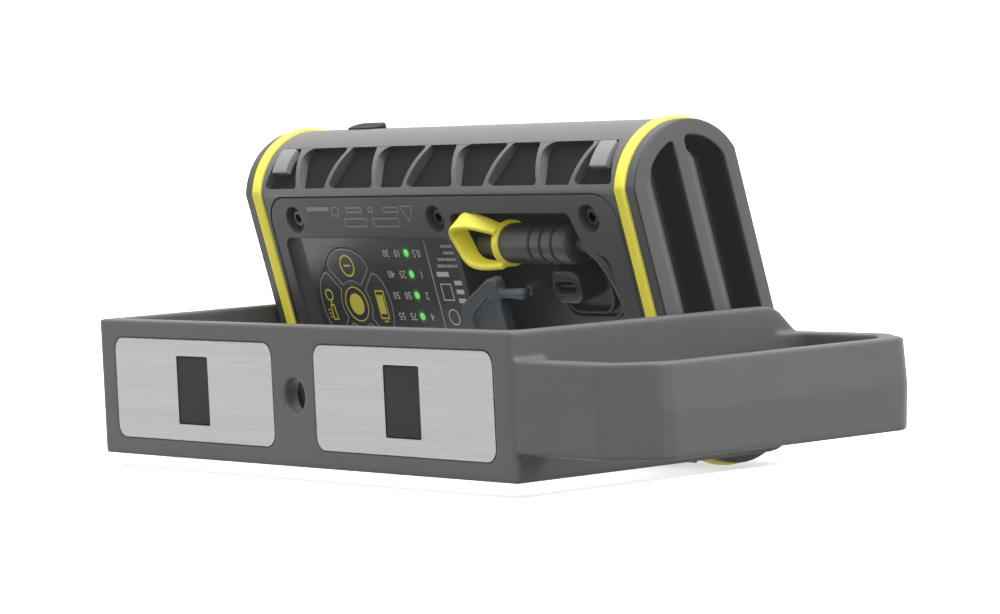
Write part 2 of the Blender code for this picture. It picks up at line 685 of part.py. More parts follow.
def make_end_caps():
    rim = extruded([head_outline(0.0)], CAP_INNER, HEAD_END, "YZ")
    inner = head_outline(-HEAD_WALL - GAP)
    plug = extruded([inner], PLUG_IN_END, CAP_INNER + CAP_RIM / 2, "YZ")
    floor = PLUG_IN_END + CAP_FLOOR
    slots = together([extruded([cap_slot(side)], floor, HEAD_END + 3 * MM, "YZ") for side in (-1, 1)])
    bore = cylinder(BOLT_SHANK + 2 * GAP, PLUG_IN_END - 3 * MM, HEAD_END + 3 * MM, "X",
                    (0, -HEAD_ABOVE_SWIVEL))
    pieces = zip(both_sides(rim), both_sides(plug), both_sides(slots), both_sides(bore))
    for (name, rim_mesh), (_, plug_mesh), (_, slot_mesh), (_, bore_mesh) in pieces:
        cap = add(f"end_cap_{name}", rim_mesh, GREY_PLASTIC, HEAD)
        join(cap, plug_mesh)
        cut(cap, slot_mesh, bore_mesh)


def make_rings():
    outlines = [head_outline(RING_PROUD), head_outline(-HEAD_WALL)]
    ring = extruded(outlines, RING_INNER, RING_INNER + RING_WIDTH, "YZ")
    for name, mesh in both_sides(ring):
        add(f"accent_ring_{name}", mesh, YELLOW_RUBBER, HEAD)


# ---------------------------------------------------------------- shells

def truss_edges():
    """For each rib, its place along x at the band's far (low) edge and at its near (high) edge."""
    ribs = []
    for i in range(TRUSS_RIBS):
        middle = (SHELL_END - TRUSS_END) * (2 * i / (TRUSS_RIBS - 1) - 1)
        lean = TRUSS_LEAN if i % 2 else -TRUSS_LEAN
        ribs.append((middle - lean, middle + lean))
    return ribs


def truss_windows(flip):
    """The prisms that cut the windows between the ribs, for the top band or the bottom one."""
    half = TRUSS_RIB / 2
    end = SHELL_END - 1.4 * MM
    ribs = truss_edges()
    lefts = [(-end, -end + 3 * MM)] + [(low + half, high + half) for low, high in ribs]
    rights = [(low - half, high - half) for low, high in ribs] + [(end, end - 3 * MM)]
    middle = (TRUSS_NEAR + TRUSS_FAR) / 2
    half_width = CROWN_RADIUS * math.sin((TRUSS_FAR - TRUSS_NEAR) / 2)
    turn = Matrix.Rotation(middle, 4, "X")
    prisms = []
    for (left_low, left_high), (right_low, right_high) in zip(lefts, rights):
        corners = [(left_low, -half_width), (right_low, -half_width),
                   (right_high, half_width), (left_high, half_width)]
        floor = CROWN_RADIUS - TRUSS_DEPTH + TRUSS_FLOOR
        window = extruded([rounded(corners, 0.9 * MM, 2)], floor, 2 * CROWN_RADIUS, "XY")
        prisms.append(turned_window(window, turn, flip))
    return together(prisms)


def turned_window(mesh, turn, flip):
    """Leans the prism back onto the crown, and mirrors it to the bottom crown if flip is set."""
    bm = bmesh.new()
    bm.from_mesh(mesh)
    place = Matrix.Translation((0, 0, CROWN_CENTRE)) @ turn
    bmesh.ops.transform(bm, matrix=place, verts=bm.verts)
    if flip:
        bmesh.ops.scale(bm, vec=(1, 1, -1), verts=bm.verts)
        bmesh.ops.reverse_faces(bm, faces=bm.faces)
    bm.to_mesh(mesh)
    bm.free()
    return mesh


def make_rear_shell():
    shell = add("rear_shell", extruded([rear_shell_outline()], -SHELL_END, SHELL_END, "YZ"),
                GREY_PLASTIC, HEAD)
    rebate = rounded_rectangle(2 * (COVER_HALF + GAP), COVER_HEIGHT + 2 * GAP, COVER_CORNER + GAP)
    cut(shell, extruded([rebate], -HALF_DEPTH - 3 * MM, COVER_BACK + GAP, "XZ"))
    opening = rounded_rectangle(2 * (COVER_HALF - COVER_END_LEDGE), COVER_HEIGHT - 2 * COVER_LEDGE,
                                COVER_CORNER - COVER_LEDGE)
    cut(shell, extruded([opening], COVER_BACK - COVER_LEDGE, POST_TOP, "XZ"))
    socket = extruded([head_outline(SOCKET_RELIEF - HEAD_WALL)], PLUG_IN_END - GAP, HEAD_END, "YZ")
    cut(shell, socket, mirrored(socket))
    cut(shell, truss_windows(False))
    cut(shell, truss_windows(True))


def make_front_shell():
    shell = add("front_shell", extruded([front_shell_outline()], -SHELL_END, SHELL_END, "YZ"),
                GREY_PLASTIC, HEAD)
    hole = rounded_rectangle(2 * (LENS_HALF + GAP), LENS_HEIGHT + 2 * GAP, LENS_CORNER + GAP)
    cut(shell, extruded([hole], HALF_DEPTH - 2 * HEAD_WALL, HALF_DEPTH + 3 * MM, "XZ"))


def make_clips():
    """Four hooks of the lens side that grip the end windows of both trusses."""
    near, far, stem = (-math.radians(a) for a in (28.5, 52.0, 37.0))
    outer = crown_arc(CLIP_PROUD, near, far, 5)
    inner = crown_arc(-1.7 * MM, far, stem, 3)
    root = crown_arc(-TRUSS_DEPTH + TRUSS_FLOOR + MM, stem, near, 1)
    centre = (truss_edges()[-1][1] + SHELL_END) / 2 - CLIP_INSET
    ends = centre - CLIP_WIDTH / 2, centre + CLIP_WIDTH / 2
    for place, outline in (("top", outer + inner + root), ("bottom", upside_down(outer + inner + root))):
        for name, mesh in both_sides(extruded([outline], *ends, "YZ")):
            add(f"lens_clip_{place}_{name}", mesh, CLIP_PLASTIC, HEAD)


def make_nub():
    """A low rubber nub on the top crown, towards the lens side."""
    height = CROWN_CENTRE + math.sqrt((CROWN_RADIUS + GAP) ** 2 - NUB_BACK**2)
    outline = rounded_rectangle(NUB_LENGTH, NUB_WIDTH, NUB_WIDTH / 2 - 0.1 * MM, (-NUB_OFFSET, NUB_BACK))
    nub = add("top_nub", extruded([outline], height - 3 * MM, height + NUB_PROUD, "XY"), DARK_RUBBER, HEAD)
    cut(nub, cylinder(2 * (CROWN_RADIUS + GAP), -HEAD_END, HEAD_END, "X", (0, CROWN_CENTRE), 96))


# ---------------------------------------------------------------- rear cover and screws

def well_places():
    return [(x, z) for z in (WELL_RISE, -WELL_RISE) for x in (-WELL_X, 0, WELL_X)]


def pocket_outline(grow=0.0):
    """The lead pocket's mouth (x, z), its right end narrowed to pass the screw wells."""
    left, right = POCKET_LEFT - grow, POCKET_RIGHT + grow
    half = POCKET_HALF_HEIGHT + grow
    shoulder = POCKET_RIGHT - POCKET_SHOULDER + grow
    low = POCKET_SHOULDER_HEIGHT + grow
    corners = [(left, -half), (shoulder, -half), (shoulder + 3 * MM, -low), (right, -low + 4 * MM),
               (right, low - 4 * MM), (shoulder + 3 * MM, low), (shoulder, half), (left, half)]
    return rounded(corners, [2 * MM, 2 * MM, 1.5 * MM, 4 * MM, 4 * MM, 1.5 * MM, 2 * MM, 2 * MM], 3)


def keypad_opening(grow=0.0):
    return rounded(rectangle(KEYPAD_LEFT - grow, -KEYPAD_HEIGHT / 2 - grow, KEYPAD_RIGHT + grow,
                             KEYPAD_HEIGHT / 2 + grow), 3 * MM)


def make_cover():
    outline = rounded_rectangle(2 * COVER_HALF, COVER_HEIGHT, COVER_CORNER)
    plate = extruded([outline, keypad_opening(), pocket_outline()], -HALF_DEPTH, COVER_BACK, "XZ")
    cover = add("rear_cover", plate, DARK_PLASTIC, HEAD)
    cup_back = WELL_FLOOR + WELL_WALL
    cups = [cylinder(WELL_DIAMETER + 2 * WELL_WALL, -HALF_DEPTH + 0.5 * MM, cup_back, "Y", place)
            for place in well_places()]
    join(cover, together(cups))
    wells = [cylinder(WELL_DIAMETER, -HALF_DEPTH - 3 * MM, WELL_FLOOR, "Y", place)
             for place in well_places()]
    cut(cover, *wells)
    holes = [cylinder(SCREW_SHANK + 2 * GAP, WELL_FLOOR - 2 * MM, cup_back + 3 * MM, "Y", place, 12)
             for place in well_places()]
    cut(cover, *holes)


def make_screws():
    for i, (x, z) in enumerate(well_places(), start=1):
        head_low = WELL_FLOOR - GAP - SCREW_HEAD_HEIGHT
        head = cylinder(SCREW_HEAD, head_low, WELL_FLOOR - GAP, "Y", (0, 0), 20)
        screw = add(f"cover_screw_{i}", head, BLACK_STEEL, HEAD, (x, 0, z))
        join(screw, cylinder(SCREW_SHANK, WELL_FLOOR - 2 * GAP, WELL_FLOOR + SCREW_LENGTH, "Y", (0, 0), 12))
        cut(screw, cylinder(SCREW_HEAD * 0.45, head_low - MM, head_low + 0.8 * MM, "Y", (0, 0), 6))


# ---------------------------------------------------------------- keypad

def sector_outline(direction, grow=0.0):
    """One of four keys round the centre key (x, z); direction is its middle angle."""
    outer, inner, gap = SECTOR_OUTER + grow, SECTOR_INNER - grow, SECTOR_SPLIT / 2 - grow
    reach = math.radians(45)
    outer_end = reach - math.asin(gap / outer)
    inner_end = reach - math.asin(gap / inner)
    bulge = outer / 2.6
    middle = outer - bulge
    end_x, end_y = outer * math.cos(outer_end) * 0.86, outer * math.sin(outer_end) * 0.86
    far = [(end_x + (outer - end_x) * math.cos(t), end_y * math.sin(t))
           for t in (math.pi / 2 * k / 6 for k in range(-6, 7))]
    near = [(inner * math.cos(a), inner * math.sin(a))
            for a in (inner_end * (1 - 2 * k / 6) for k in range(7))]
    turn = Matrix.Rotation(direction, 2)
    return [tuple(turn @ Vector(point)) for point in far + near]


KEYS = {"minus": math.pi / 2, "plus": -math.pi / 2, "spot": math.pi, "flood": 0.0}


def keypad_holes():
    holes = [circle(0, 0, CENTRE_KEY + 2 * KEY_CLEARANCE, 24)]
    for direction in KEYS.values():
        holes.append(sector_outline(direction, KEY_CLEARANCE))
    return [[(x + KEYS_X, z) for x, z in hole] for hole in holes]


def lamp_places():
    return [(LAMPS_X, LAMP_TOP - i * LAMP_PITCH) for i in range(LAMP_PIPES)]


def make_keypad():
    pipes = [circle(x, z, LAMP_PIPE + 2 * KEY_CLEARANCE, 12) for x, z in lamp_places()]
    flange = keypad_opening(KEYPAD_FLANGE)
    panel = extruded([flange, *keypad_holes(), *pipes], KEYPAD_FACE, KEYPAD_BACK, "XZ")
    add("keypad_panel", panel, KEY_FILM, HEAD)
    key_back = KEYPAD_FACE + KEY_SLOT_DEPTH - KEY_TRAVEL
    centre = cylinder(CENTRE_KEY, KEYPAD_FACE, key_back, "Y", (0, 0), 24)
    add("key_centre", centre, KEY_FILM, HEAD, (KEYS_X, 0, 0))
    for name, direction in KEYS.items():
        mesh = extruded([sector_outline(direction)], KEYPAD_FACE, key_back, "XZ")
        add(f"key_{name}", mesh, KEY_FILM, HEAD, (KEYS_X, 0, 0))
    for i, (x, z) in enumerate(lamp_places(), start=1):
        pipe = cylinder(LAMP_PIPE, KEYPAD_FACE - 0.1 * MM, KEYPAD_BACK + 0.6 * MM, "Y", (0, 0), 12)
        add(f"charge_lamp_{i}", pipe, PIPE_GREEN, HEAD, (x, 0, z))
    board_face = KEYPAD_FACE + KEY_SLOT_DEPTH + GAP
    board = rounded(rectangle(KEYPAD_LEFT, -KEYPAD_HEIGHT / 2 + MM, KEYPAD_RIGHT - 2 * MM,
                              KEYPAD_HEIGHT / 2 - MM), 1.5 * MM, 2)
    add("keypad_board", extruded([board], board_face, board_face + BOARD_THICKNESS / 2, "XZ"),
        BOARD_GREEN, HEAD)


# ---------------------------------------------------------------- lead pocket

def make_pocket():
    low = COVER_BACK + GAP
    tub = add("lead_pocket",
              extruded([pocket_outline(POCKET_WALL)], low, POCKET_FLOOR + POCKET_WALL, "XZ"),
              BLACK_PLASTIC, HEAD)
    cut(tub, extruded([pocket_outline()], low - 3 * MM, POCKET_FLOOR, "XZ"))
    top = FLAP_Y + FLAP_THICKNESS / 2 + GAP
    join(tub, cylinder(PEG_DIAMETER, top, POCKET_FLOOR + POCKET_WALL / 2, "Y", (ANCHOR_X, ANCHOR_Z), 16))


def plug_profile():
    """The plug's radius along its length: nose, collar seat, ribbed grip and tail."""
    radius = PLUG_DIAMETER / 2
    groove = PLUG_GROOVE
    nose = [(0.0, radius * 0.62), (6 * MM, radius * 0.7), (6.6 * MM, radius - 0.6 * MM),
            (PLUG_LENGTH * 0.55, radius)]
    profile = [(0.0, 0.0), *nose]
    start, pitch = PLUG_LENGTH * 0.62, PLUG_LENGTH * 0.115
    for i in range(3):
        at = start + i * pitch
        profile += [(at, radius), (at, radius - groove), (at + groove, radius - groove),
                    (at + groove, radius)]
    profile += [(PLUG_LENGTH - 1.6 * MM, radius * 0.96), (PLUG_LENGTH, radius * 0.8), (PLUG_LENGTH, 0.0)]
    return profile


def turned(profile, steps):
    """A Screw-made solid about X from (x, radius) points that run along it."""
    mesh = bpy.data.meshes.new("profile")
    bm = bmesh.new()
    verts = [bm.verts.new((x, 0, radius)) for x, radius in profile]
    for first, second in zip(verts, verts[1:]):
        bm.edges.new((first, second))
    bm.to_mesh(mesh)
    bm.free()
    guide = bpy.data.objects.new("profile", mesh)
    PARTS.objects.link(guide)
    screw = guide.modifiers.new("Screw", "SCREW")
    screw.axis = "X"
    screw.steps = steps
    screw.render_steps = steps
    screw.use_merge_vertices = True
    screw.merge_threshold = 0.01 * MM
    graph = bpy.context.evaluated_depsgraph_get()
    solid = bpy.data.meshes.new_from_object(guide.evaluated_get(graph))
    bpy.data.objects.remove(guide)
    return welded(solid, Matrix.Identity(4))


def make_plug():
    add("lead_plug", turned(plug_profile(), 24), BLACK_PLASTIC, HEAD, (PLUG_LEFT, PLUG_Y, PLUG_RISE))


def make_pull_loop():
    """A rubber collar round the plug, with a finger loop that stands out of the pocket."""
    inner = PLUG_DIAMETER + 2 * GAP
    outer = 2 * LOOP_HALF
    low = PLUG_LENGTH * 0.24
    rings = [circle(0, 0, outer, 28), circle(0, 0, inner, 28)]
    loop = add("pull_loop", extruded(rings, low, low + LOOP_COLLAR, "YZ"), YELLOW_RUBBER, HEAD,
               (PLUG_LEFT, PLUG_Y, PLUG_RISE))
    join(loop, loop_band(low + LOOP_COLLAR / 2, outer / 2))


def loop_band(root, half):
    """The finger loop: a strip that leaves the collar above and below it and closes at the left."""
    thick = LOOP_THICKNESS
    left = -LOOP_REACH
    swell = half + LOOP_SWELL
    outside = [(root, half), (left + 5 * MM, swell), (left, half / 3), (left, -half / 3),
               (left + 5 * MM, -swell), (root, -half)]
    inside = [(root, thick - half), (left + 5.6 * MM, thick - swell), (left + thick, -half / 3),
              (left + thick, half / 3), (left + 5.6 * MM, swell - thick), (root, half - thick)]
    radii = [0, 3 * MM, 2.4 * MM, 2.4 * MM, 3 * MM, 0, 0, 2.4 * MM, MM, MM, 2.4 * MM, 0]
    front = -PLUG_DIAMETER / 2 - GAP - thick - LOOP_PROUD
    return extruded([rounded(outside + inside, radii, 3)], front, front + LOOP_BAND, "XZ")


def make_port():
    port_face = POCKET_FLOOR - GAP - PORT_STANDOFF
    body = rounded_rectangle(PORT_LENGTH, PORT_HEIGHT, 3.2 * MM, (PORT_X, PORT_RISE))
    port = add("charge_port", extruded([body], port_face, POCKET_FLOOR - GAP, "XZ"), BLACK_PLASTIC, HEAD)
    mouth = rounded_rectangle(8.6 * MM, 3.2 * MM, 1.5 * MM, (PORT_X, PORT_RISE))
    cut(port, extruded([mouth], port_face - MM, port_face + 4.6 * MM, "XZ"))


def make_port_flap():
    """The port's rubber stopper, swung out to the left of its tether anchor."""
    left, right = FLAP_X - FLAP_WIDTH / 2, FLAP_X + FLAP_WIDTH / 2
    low, high = FLAP_RISE - FLAP_HEIGHT / 2 - ANCHOR_Z, FLAP_RISE + FLAP_HEIGHT / 2 - ANCHOR_Z
    corners = [(left, low), (right, low), (right, high), (right - 4 * MM, high), (left, high - 7 * MM)]
    outline = rounded(corners, [4 * MM, 3 * MM, 1.8 * MM, 1.8 * MM, 2.4 * MM])
    half = FLAP_THICKNESS / 2
    flap = add("port_flap", extruded([outline], -half, half, "XZ"), BLUE_GREY_RUBBER, HEAD,
               (ANCHOR_X, FLAP_Y, ANCHOR_Z))
    join(flap, cylinder(PEG_DIAMETER * 0.95, right - 2 * MM, PEG_DIAMETER / 2, "X", (0, 0), 16))
    dimple = rounded_rectangle(FLAP_WIDTH * 0.5, FLAP_HEIGHT * 0.5, 2.6 * MM,
                               (FLAP_X + MM, FLAP_RISE - 1.6 * MM - ANCHOR_Z))
    cut(flap, extruded([dimple], -FLAP_THICKNESS, 0.8 * MM - half, "XZ"))


LEAD_ROUTE = [(0.4, -0.2, 0.0), (4.6, -0.5, -1.2), (8.2, -0.3, -4.4), (10.6, 0.1, -9.0), (11.8, 0.8, -15.0),
              (10.8, 2.4, -22.0), (7.2, 4.2, -28.4), (1.2, 5.0, -32.4), (-6.0, 5.2, -34.0)]


def lead_points(samples=4):
    """Points along a smooth curve through the route, which starts at the plug's tail."""
    route = [Vector(p) * MM for p in LEAD_ROUTE]
    route = [route[0] * 2 - route[1], *route, route[-1] * 2 - route[-2]]
    points = []
    for p0, p1, p2, p3 in zip(route, route[1:], route[2:], route[3:]):
        for k in range(samples):
            t = k / samples
            points.append(0.5 * (2 * p1 + (p2 - p0) * t + (2 * p0 - 5 * p1 + 4 * p2 - p3) * t**2
                                 + (3 * p1 - p0 - 3 * p2 + p3) * t**3))
    return points + [route[-2]]


def make_lead():
    curve = bpy.data.curves.new("charge_lead", "CURVE")
    curve.dimensions = "3D"
    curve.bevel_depth = LEAD_DIAMETER / 2
    curve.bevel_resolution = 2
    curve.use_fill_caps = True
    spline = curve.splines.new("POLY")
    points = lead_points()
    spline.points.add(len(points) - 1)
    for point, place in zip(spline.points, points):
        point.co = (*place, 1)
    lead = bpy.data.objects.new("charge_lead", curve)
    PARTS.objects.link(lead)
    curve.materials.append(BLACK_PLASTIC)
    lead.parent = HEAD
    lead.location = (PLUG_LEFT + PLUG_LENGTH, PLUG_Y, PLUG_RISE)


def make_lead_gland():
    """The strain relief where the lead goes through the pocket floor."""
    end = Vector(LEAD_ROUTE[-1]) * MM
    x = PLUG_LEFT + PLUG_LENGTH + end.x - GAP
    centre = (PLUG_Y + end.y, PLUG_RISE + end.z)
    gland = turned([(-8 * MM, 0), (-8 * MM, 3.4 * MM), (-2 * MM, 3.4 * MM), (0, 2.4 * MM), (0, 0)], 16)
    add("lead_gland", gland, BLACK_PLASTIC, HEAD, (x, *centre))


# ---------------------------------------------------------------- lens side and inside

def make_lens():
    lens = rounded_rectangle(2 * LENS_HALF, LENS_HEIGHT, LENS_CORNER)
    add("lens", extruded([lens], LENS_BACK, LENS_FACE, "XZ"), LENS_CLEAR, HEAD)
    seal = [rounded_rectangle(2 * LENS_HALF, LENS_HEIGHT, LENS_CORNER),
            rounded_rectangle(2 * (LENS_HALF - LENS_LIP), LENS_HEIGHT - 2 * LENS_LIP, LENS_CORNER - LENS_LIP)]
    add("lens_gasket", extruded(seal, GASKET_BACK, LENS_BACK - GAP, "XZ"), DARK_RUBBER, HEAD)


def make_light_engine():
    half, height = LENS_HALF - MM, LENS_HEIGHT - 2 * MM
    rim = REFLECTOR_RIM
    tray = [rounded_rectangle(2 * half, height, LENS_CORNER - MM),
            rounded_rectangle(2 * (half - rim), height - 2 * rim, MM)]
    add("reflector", extruded(tray, BOARD_FACE + GAP, GASKET_BACK - GAP, "XZ"), REFLECTOR_WHITE, HEAD)
    board = rounded_rectangle(2 * half, height, 2 * MM)
    add("led_board", extruded([board], BOARD_BACK, BOARD_FACE, "XZ"), BOARD_WHITE, HEAD)
    for name, side in (("upper", 1), ("lower", -1)):
        centre = (0, side * EMITTER_HEIGHT * 0.68)
        strip = rounded_rectangle(2 * (half - rim - 4 * MM), EMITTER_HEIGHT, MM, centre)
        low = BOARD_FACE + GAP
        add(f"led_strip_{name}", extruded([strip], low, low + EMITTER_THICKNESS, "XZ"), EMITTER_YELLOW, HEAD)


def make_heat_sink():
    """An inner plate behind the lamp board, with posts for the cover screws and cooling fins."""
    half = LENS_HALF - 2 * MM
    height = HEAD_HEIGHT - 2 * HEAD_CROWN
    plate = rounded_rectangle(2 * half, height, 2 * MM)
    sink = add("heat_sink", extruded([plate], SINK_BACK, SINK_FACE, "XZ"), SINK_ALUMINIUM, HEAD)
    posts = [cylinder(POST_DIAMETER, POST_TOP, SINK_BACK + 0.5 * MM, "Y", place, 16) for place in well_places()]
    join(sink, together(posts))
    holes = [cylinder(SCREW_SHANK + 2 * GAP, POST_TOP - MM, WELL_FLOOR + SCREW_LENGTH + 1.5 * MM, "Y", place, 12)
             for place in well_places()]
    cut(sink, *holes)


def make_cells():
    left, right = -WELL_X + POST_DIAMETER / 2 + GAP, -POST_DIAMETER / 2 - GAP
    pitch = (right - left) / CELLS
    diameter = min(CELL_DIAMETER, pitch - GAP)
    depth = SINK_BACK - GAP - diameter / 2
    for i in range(CELLS):
        x = left + pitch * (i + 0.5)
        mesh = extruded([circle(x, depth, diameter, 20)], -CELL_LENGTH / 2, CELL_LENGTH / 2, "XY")
        add(f"battery_cell_{i + 1}", mesh, CELL_WRAP, HEAD)


def make_control_board():
    low = POCKET_FLOOR + POCKET_WALL + 2 * MM
    half = POCKET_HALF_HEIGHT - 5 * MM
    board = rectangle(POCKET_LEFT, -half, WELL_X - POST_DIAMETER, half)
    add("control_board", extruded([board], low, low + BOARD_THICKNESS, "XZ"), BOARD_GREEN, HEAD)


make_bracket()
make_magnets()
make_swivel_hardware()
make_end_caps()
make_rings()
make_rear_shell()
make_front_shell()
make_clips()
make_nub()
make_cover()
make_screws()
make_keypad()
make_pocket()
make_plug()
make_pull_loop()
make_port()
make_port_flap()
make_lead()
make_lead_gland()
make_lens()
make_light_engine()
make_heat_sink()
make_cells()
make_control_board()
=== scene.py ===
"""Looks of the area work light: finer meshes, materials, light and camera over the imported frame.

Bracket pieces are made in world coordinates. Head pieces are made in the head's own frame (x along it,
y from the keypad side to the lens side, z up it) and placed by the matrix HEAD.
"""

import json
import math

import bmesh
import bpy
import numpy as np
from mathutils import Matrix, Vector


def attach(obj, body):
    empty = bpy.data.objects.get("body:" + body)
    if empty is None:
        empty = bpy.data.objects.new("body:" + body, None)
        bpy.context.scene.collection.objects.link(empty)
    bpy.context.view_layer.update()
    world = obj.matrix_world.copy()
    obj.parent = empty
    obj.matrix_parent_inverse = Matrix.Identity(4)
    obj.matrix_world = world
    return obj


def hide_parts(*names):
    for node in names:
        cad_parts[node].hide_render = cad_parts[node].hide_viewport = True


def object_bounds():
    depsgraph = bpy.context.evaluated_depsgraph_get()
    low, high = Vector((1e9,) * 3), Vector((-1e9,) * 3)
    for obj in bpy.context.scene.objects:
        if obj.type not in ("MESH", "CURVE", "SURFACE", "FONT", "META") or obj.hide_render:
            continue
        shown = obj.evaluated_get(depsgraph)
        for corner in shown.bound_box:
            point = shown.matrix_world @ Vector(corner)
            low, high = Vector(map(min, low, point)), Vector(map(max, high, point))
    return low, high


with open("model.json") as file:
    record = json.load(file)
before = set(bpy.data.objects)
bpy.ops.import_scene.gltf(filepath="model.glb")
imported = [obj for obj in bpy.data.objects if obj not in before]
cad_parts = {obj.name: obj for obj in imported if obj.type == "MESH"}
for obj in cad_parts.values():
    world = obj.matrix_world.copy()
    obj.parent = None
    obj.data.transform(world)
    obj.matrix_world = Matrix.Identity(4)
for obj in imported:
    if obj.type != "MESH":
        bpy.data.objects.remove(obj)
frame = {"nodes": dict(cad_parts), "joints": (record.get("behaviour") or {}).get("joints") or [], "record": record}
CAD_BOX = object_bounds()

MM = 0.001
GAP = 0.3 * MM

# ---------------------------------------------------------------- sizes, as in the CAD

ARM_OUTSIDE = 93.5 * MM
ARM_INSIDE = 88.5 * MM
BRACKET_HEIGHT = 38.0 * MM
MID_HEIGHT = BRACKET_HEIGHT / 2
PANEL_FRONT = -2.55 * MM
PANEL_THICKNESS = 5.1 * MM
BRACKET_END = 96.95 * MM
ARM_WALL = 5.0 * MM
ARM_END_CHAMFER = 10.5 * MM
HANDLE_REACH = 48.0 * MM
HANDLE_HEIGHT = 23.6 * MM
HANDLE_WALL = 6.0 * MM
HANDLE_CHAMFER = 12.0 * MM
PLATE_LENGTH, PLATE_HEIGHT, PLATE_CORNER = 75.7 * MM, 28.0 * MM, 3.6 * MM
PLATE_CENTRE = 47.55 * MM
PAD_LENGTH, PAD_HEIGHT = 14.8 * MM, 18.5 * MM
HANG_HOLE = 9.1 * MM
BOLT_HEAD = 13.0 * MM
BOLT_HEAD_HEIGHT = 2.6 * MM

HEAD_ABOVE_SWIVEL = 24.5 * MM
HALF_DEPTH = 18.15 * MM
HEAD_HEIGHT = 92.6 * MM
CROWN = 12.65 * MM
CROWN_RADIUS = (HALF_DEPTH**2 + CROWN**2) / (2 * CROWN)
CROWN_CENTRE = HEAD_HEIGHT / 2 - CROWN_RADIUS
HEAD_END = 86.9 * MM
CAP_INNER = 83.0 * MM
RING_INNER = 79.0 * MM
RING_WIDTH = 3.7 * MM
SHELL_END = 78.7 * MM
WALL = 3.0 * MM
SHELL_SPLIT = 4.0 * MM

COVER_HALF, COVER_HEIGHT, COVER_CORNER = 77.1 * MM, 65.0 * MM, 8.0 * MM
COVER_THICKNESS = 1.9 * MM
WELL_X, WELL_RISE, WELL_DIAMETER, WELL_DEPTH = 65.5 * MM, 25.9 * MM, 7.6 * MM, 3.4 * MM
KEYPAD_LEFT, KEYPAD_RIGHT, KEYPAD_HEIGHT = -70.3 * MM, 4.4 * MM, 40.8 * MM
KEYPAD_FACE = -HALF_DEPTH + 2.2 * MM
KEYS_X, LAMPS_X = -49.4 * MM, -20.1 * MM
LAMP_TOP, LAMP_PITCH = 15.4 * MM, 6.2 * MM
POCKET_LEFT, POCKET_RIGHT, POCKET_HALF = 6.7 * MM, 69.6 * MM, 27.4 * MM
POCKET_FLOOR = -2.95 * MM
PLUG_LEFT, PLUG_Y, PLUG_RISE = 12.1 * MM, -12.25 * MM, 17.2 * MM
PLUG_DIAMETER, PLUG_LENGTH = 11.2 * MM, 40.0 * MM
PORT_X, PORT_RISE = 41.0 * MM, 4.6 * MM
ANCHOR_X, ANCHOR_Y, ANCHOR_Z = 32.6 * MM, -20.25 * MM, 5.6 * MM
LENS_HALF, LENS_HEIGHT, LENS_CORNER = 70.7 * MM, 64.0 * MM, 6.0 * MM

joints = {joint["name"]: joint for joint in frame["joints"]}
SWIVEL = Vector(joints["head_swivel"]["pos_m"])
INTO_HEAD = Vector(joints["key_centre_press"]["axis"])
TILT = math.atan2(INTO_HEAD.z, INTO_HEAD.y)
HEAD = (Matrix.Translation(SWIVEL) @ Matrix.Rotation(TILT, 4, "X")
        @ Matrix.Translation((0, 0, HEAD_ABOVE_SWIVEL)))
WORLD = Matrix.Identity(4)
KEY_SIDE = (0.93, -0.12, 0.34)


# ---------------------------------------------------------------- camera, light, floor

def make_camera():
    yaw, pitch, roll = math.radians(-51.53), math.radians(-3.25), math.radians(-2.742)
    view = Vector((math.sin(yaw) * math.cos(pitch), math.cos(yaw) * math.cos(pitch), math.sin(pitch)))
    right = Vector((math.cos(yaw), -math.sin(yaw), 0))
    up = right.cross(view)
    rolled_right = math.cos(roll) * right + math.sin(roll) * up
    rolled_up = math.cos(roll) * up - math.sin(roll) * right
    data = bpy.data.cameras.new("camera")
    data.lens = 142.83
    data.sensor_width = 36
    data.clip_end = 30
    camera = bpy.data.objects.new("camera", data)
    turn = Matrix((rolled_right, rolled_up, -view)).transposed().to_4x4()
    camera.matrix_world = Matrix.Translation((0.8579, -0.6128, 0.0998)) @ turn
    bpy.context.scene.collection.objects.link(camera)
    bpy.context.scene.camera = camera


def sun_light(name, towards, strength, spread):
    data = bpy.data.lights.new(name, "SUN")
    data.energy = strength
    data.angle = math.radians(spread)
    light = bpy.data.objects.new(name, data)
    light.rotation_euler = Vector(towards).to_track_quat("Z", "Y").to_euler()
    bpy.context.scene.collection.objects.link(light)


class Tree:
    """The node tree of a world or material, with short ways to add and join nodes."""

    def __init__(self, owner):
        owner.use_nodes = True
        self.nodes, self.links = owner.node_tree.nodes, owner.node_tree.links

    def add(self, kind, values=(), sources=(), **settings):
        """A node with these settings, input values and links into its inputs."""
        made = self.nodes.new(kind)
        for name, value in settings.items():
            setattr(made, name, value)
        for socket, value in dict(values).items():
            made.inputs[socket].default_value = value
        for socket, source in dict(sources).items():
            self.links.new(source, made.inputs[socket])
        return made

    def coordinates(self, output="Object"):
        return self.add("ShaderNodeTexCoord").outputs[output]

    def maths(self, operation, first, second=None, numbers=()):
        sources = {0: first} if second is None else {0: first, 1: second}
        return self.add("ShaderNodeMath", numbers, sources, operation=operation).outputs["Value"]

    def spread(self, value, start, end, low, high, **settings):
        """The value with start to end stretched to low to high."""
        ends = {"From Min": start, "From Max": end, "To Min": low, "To Max": high}
        return self.add("ShaderNodeMapRange", ends, {"Value": value}, **settings).outputs["Result"]


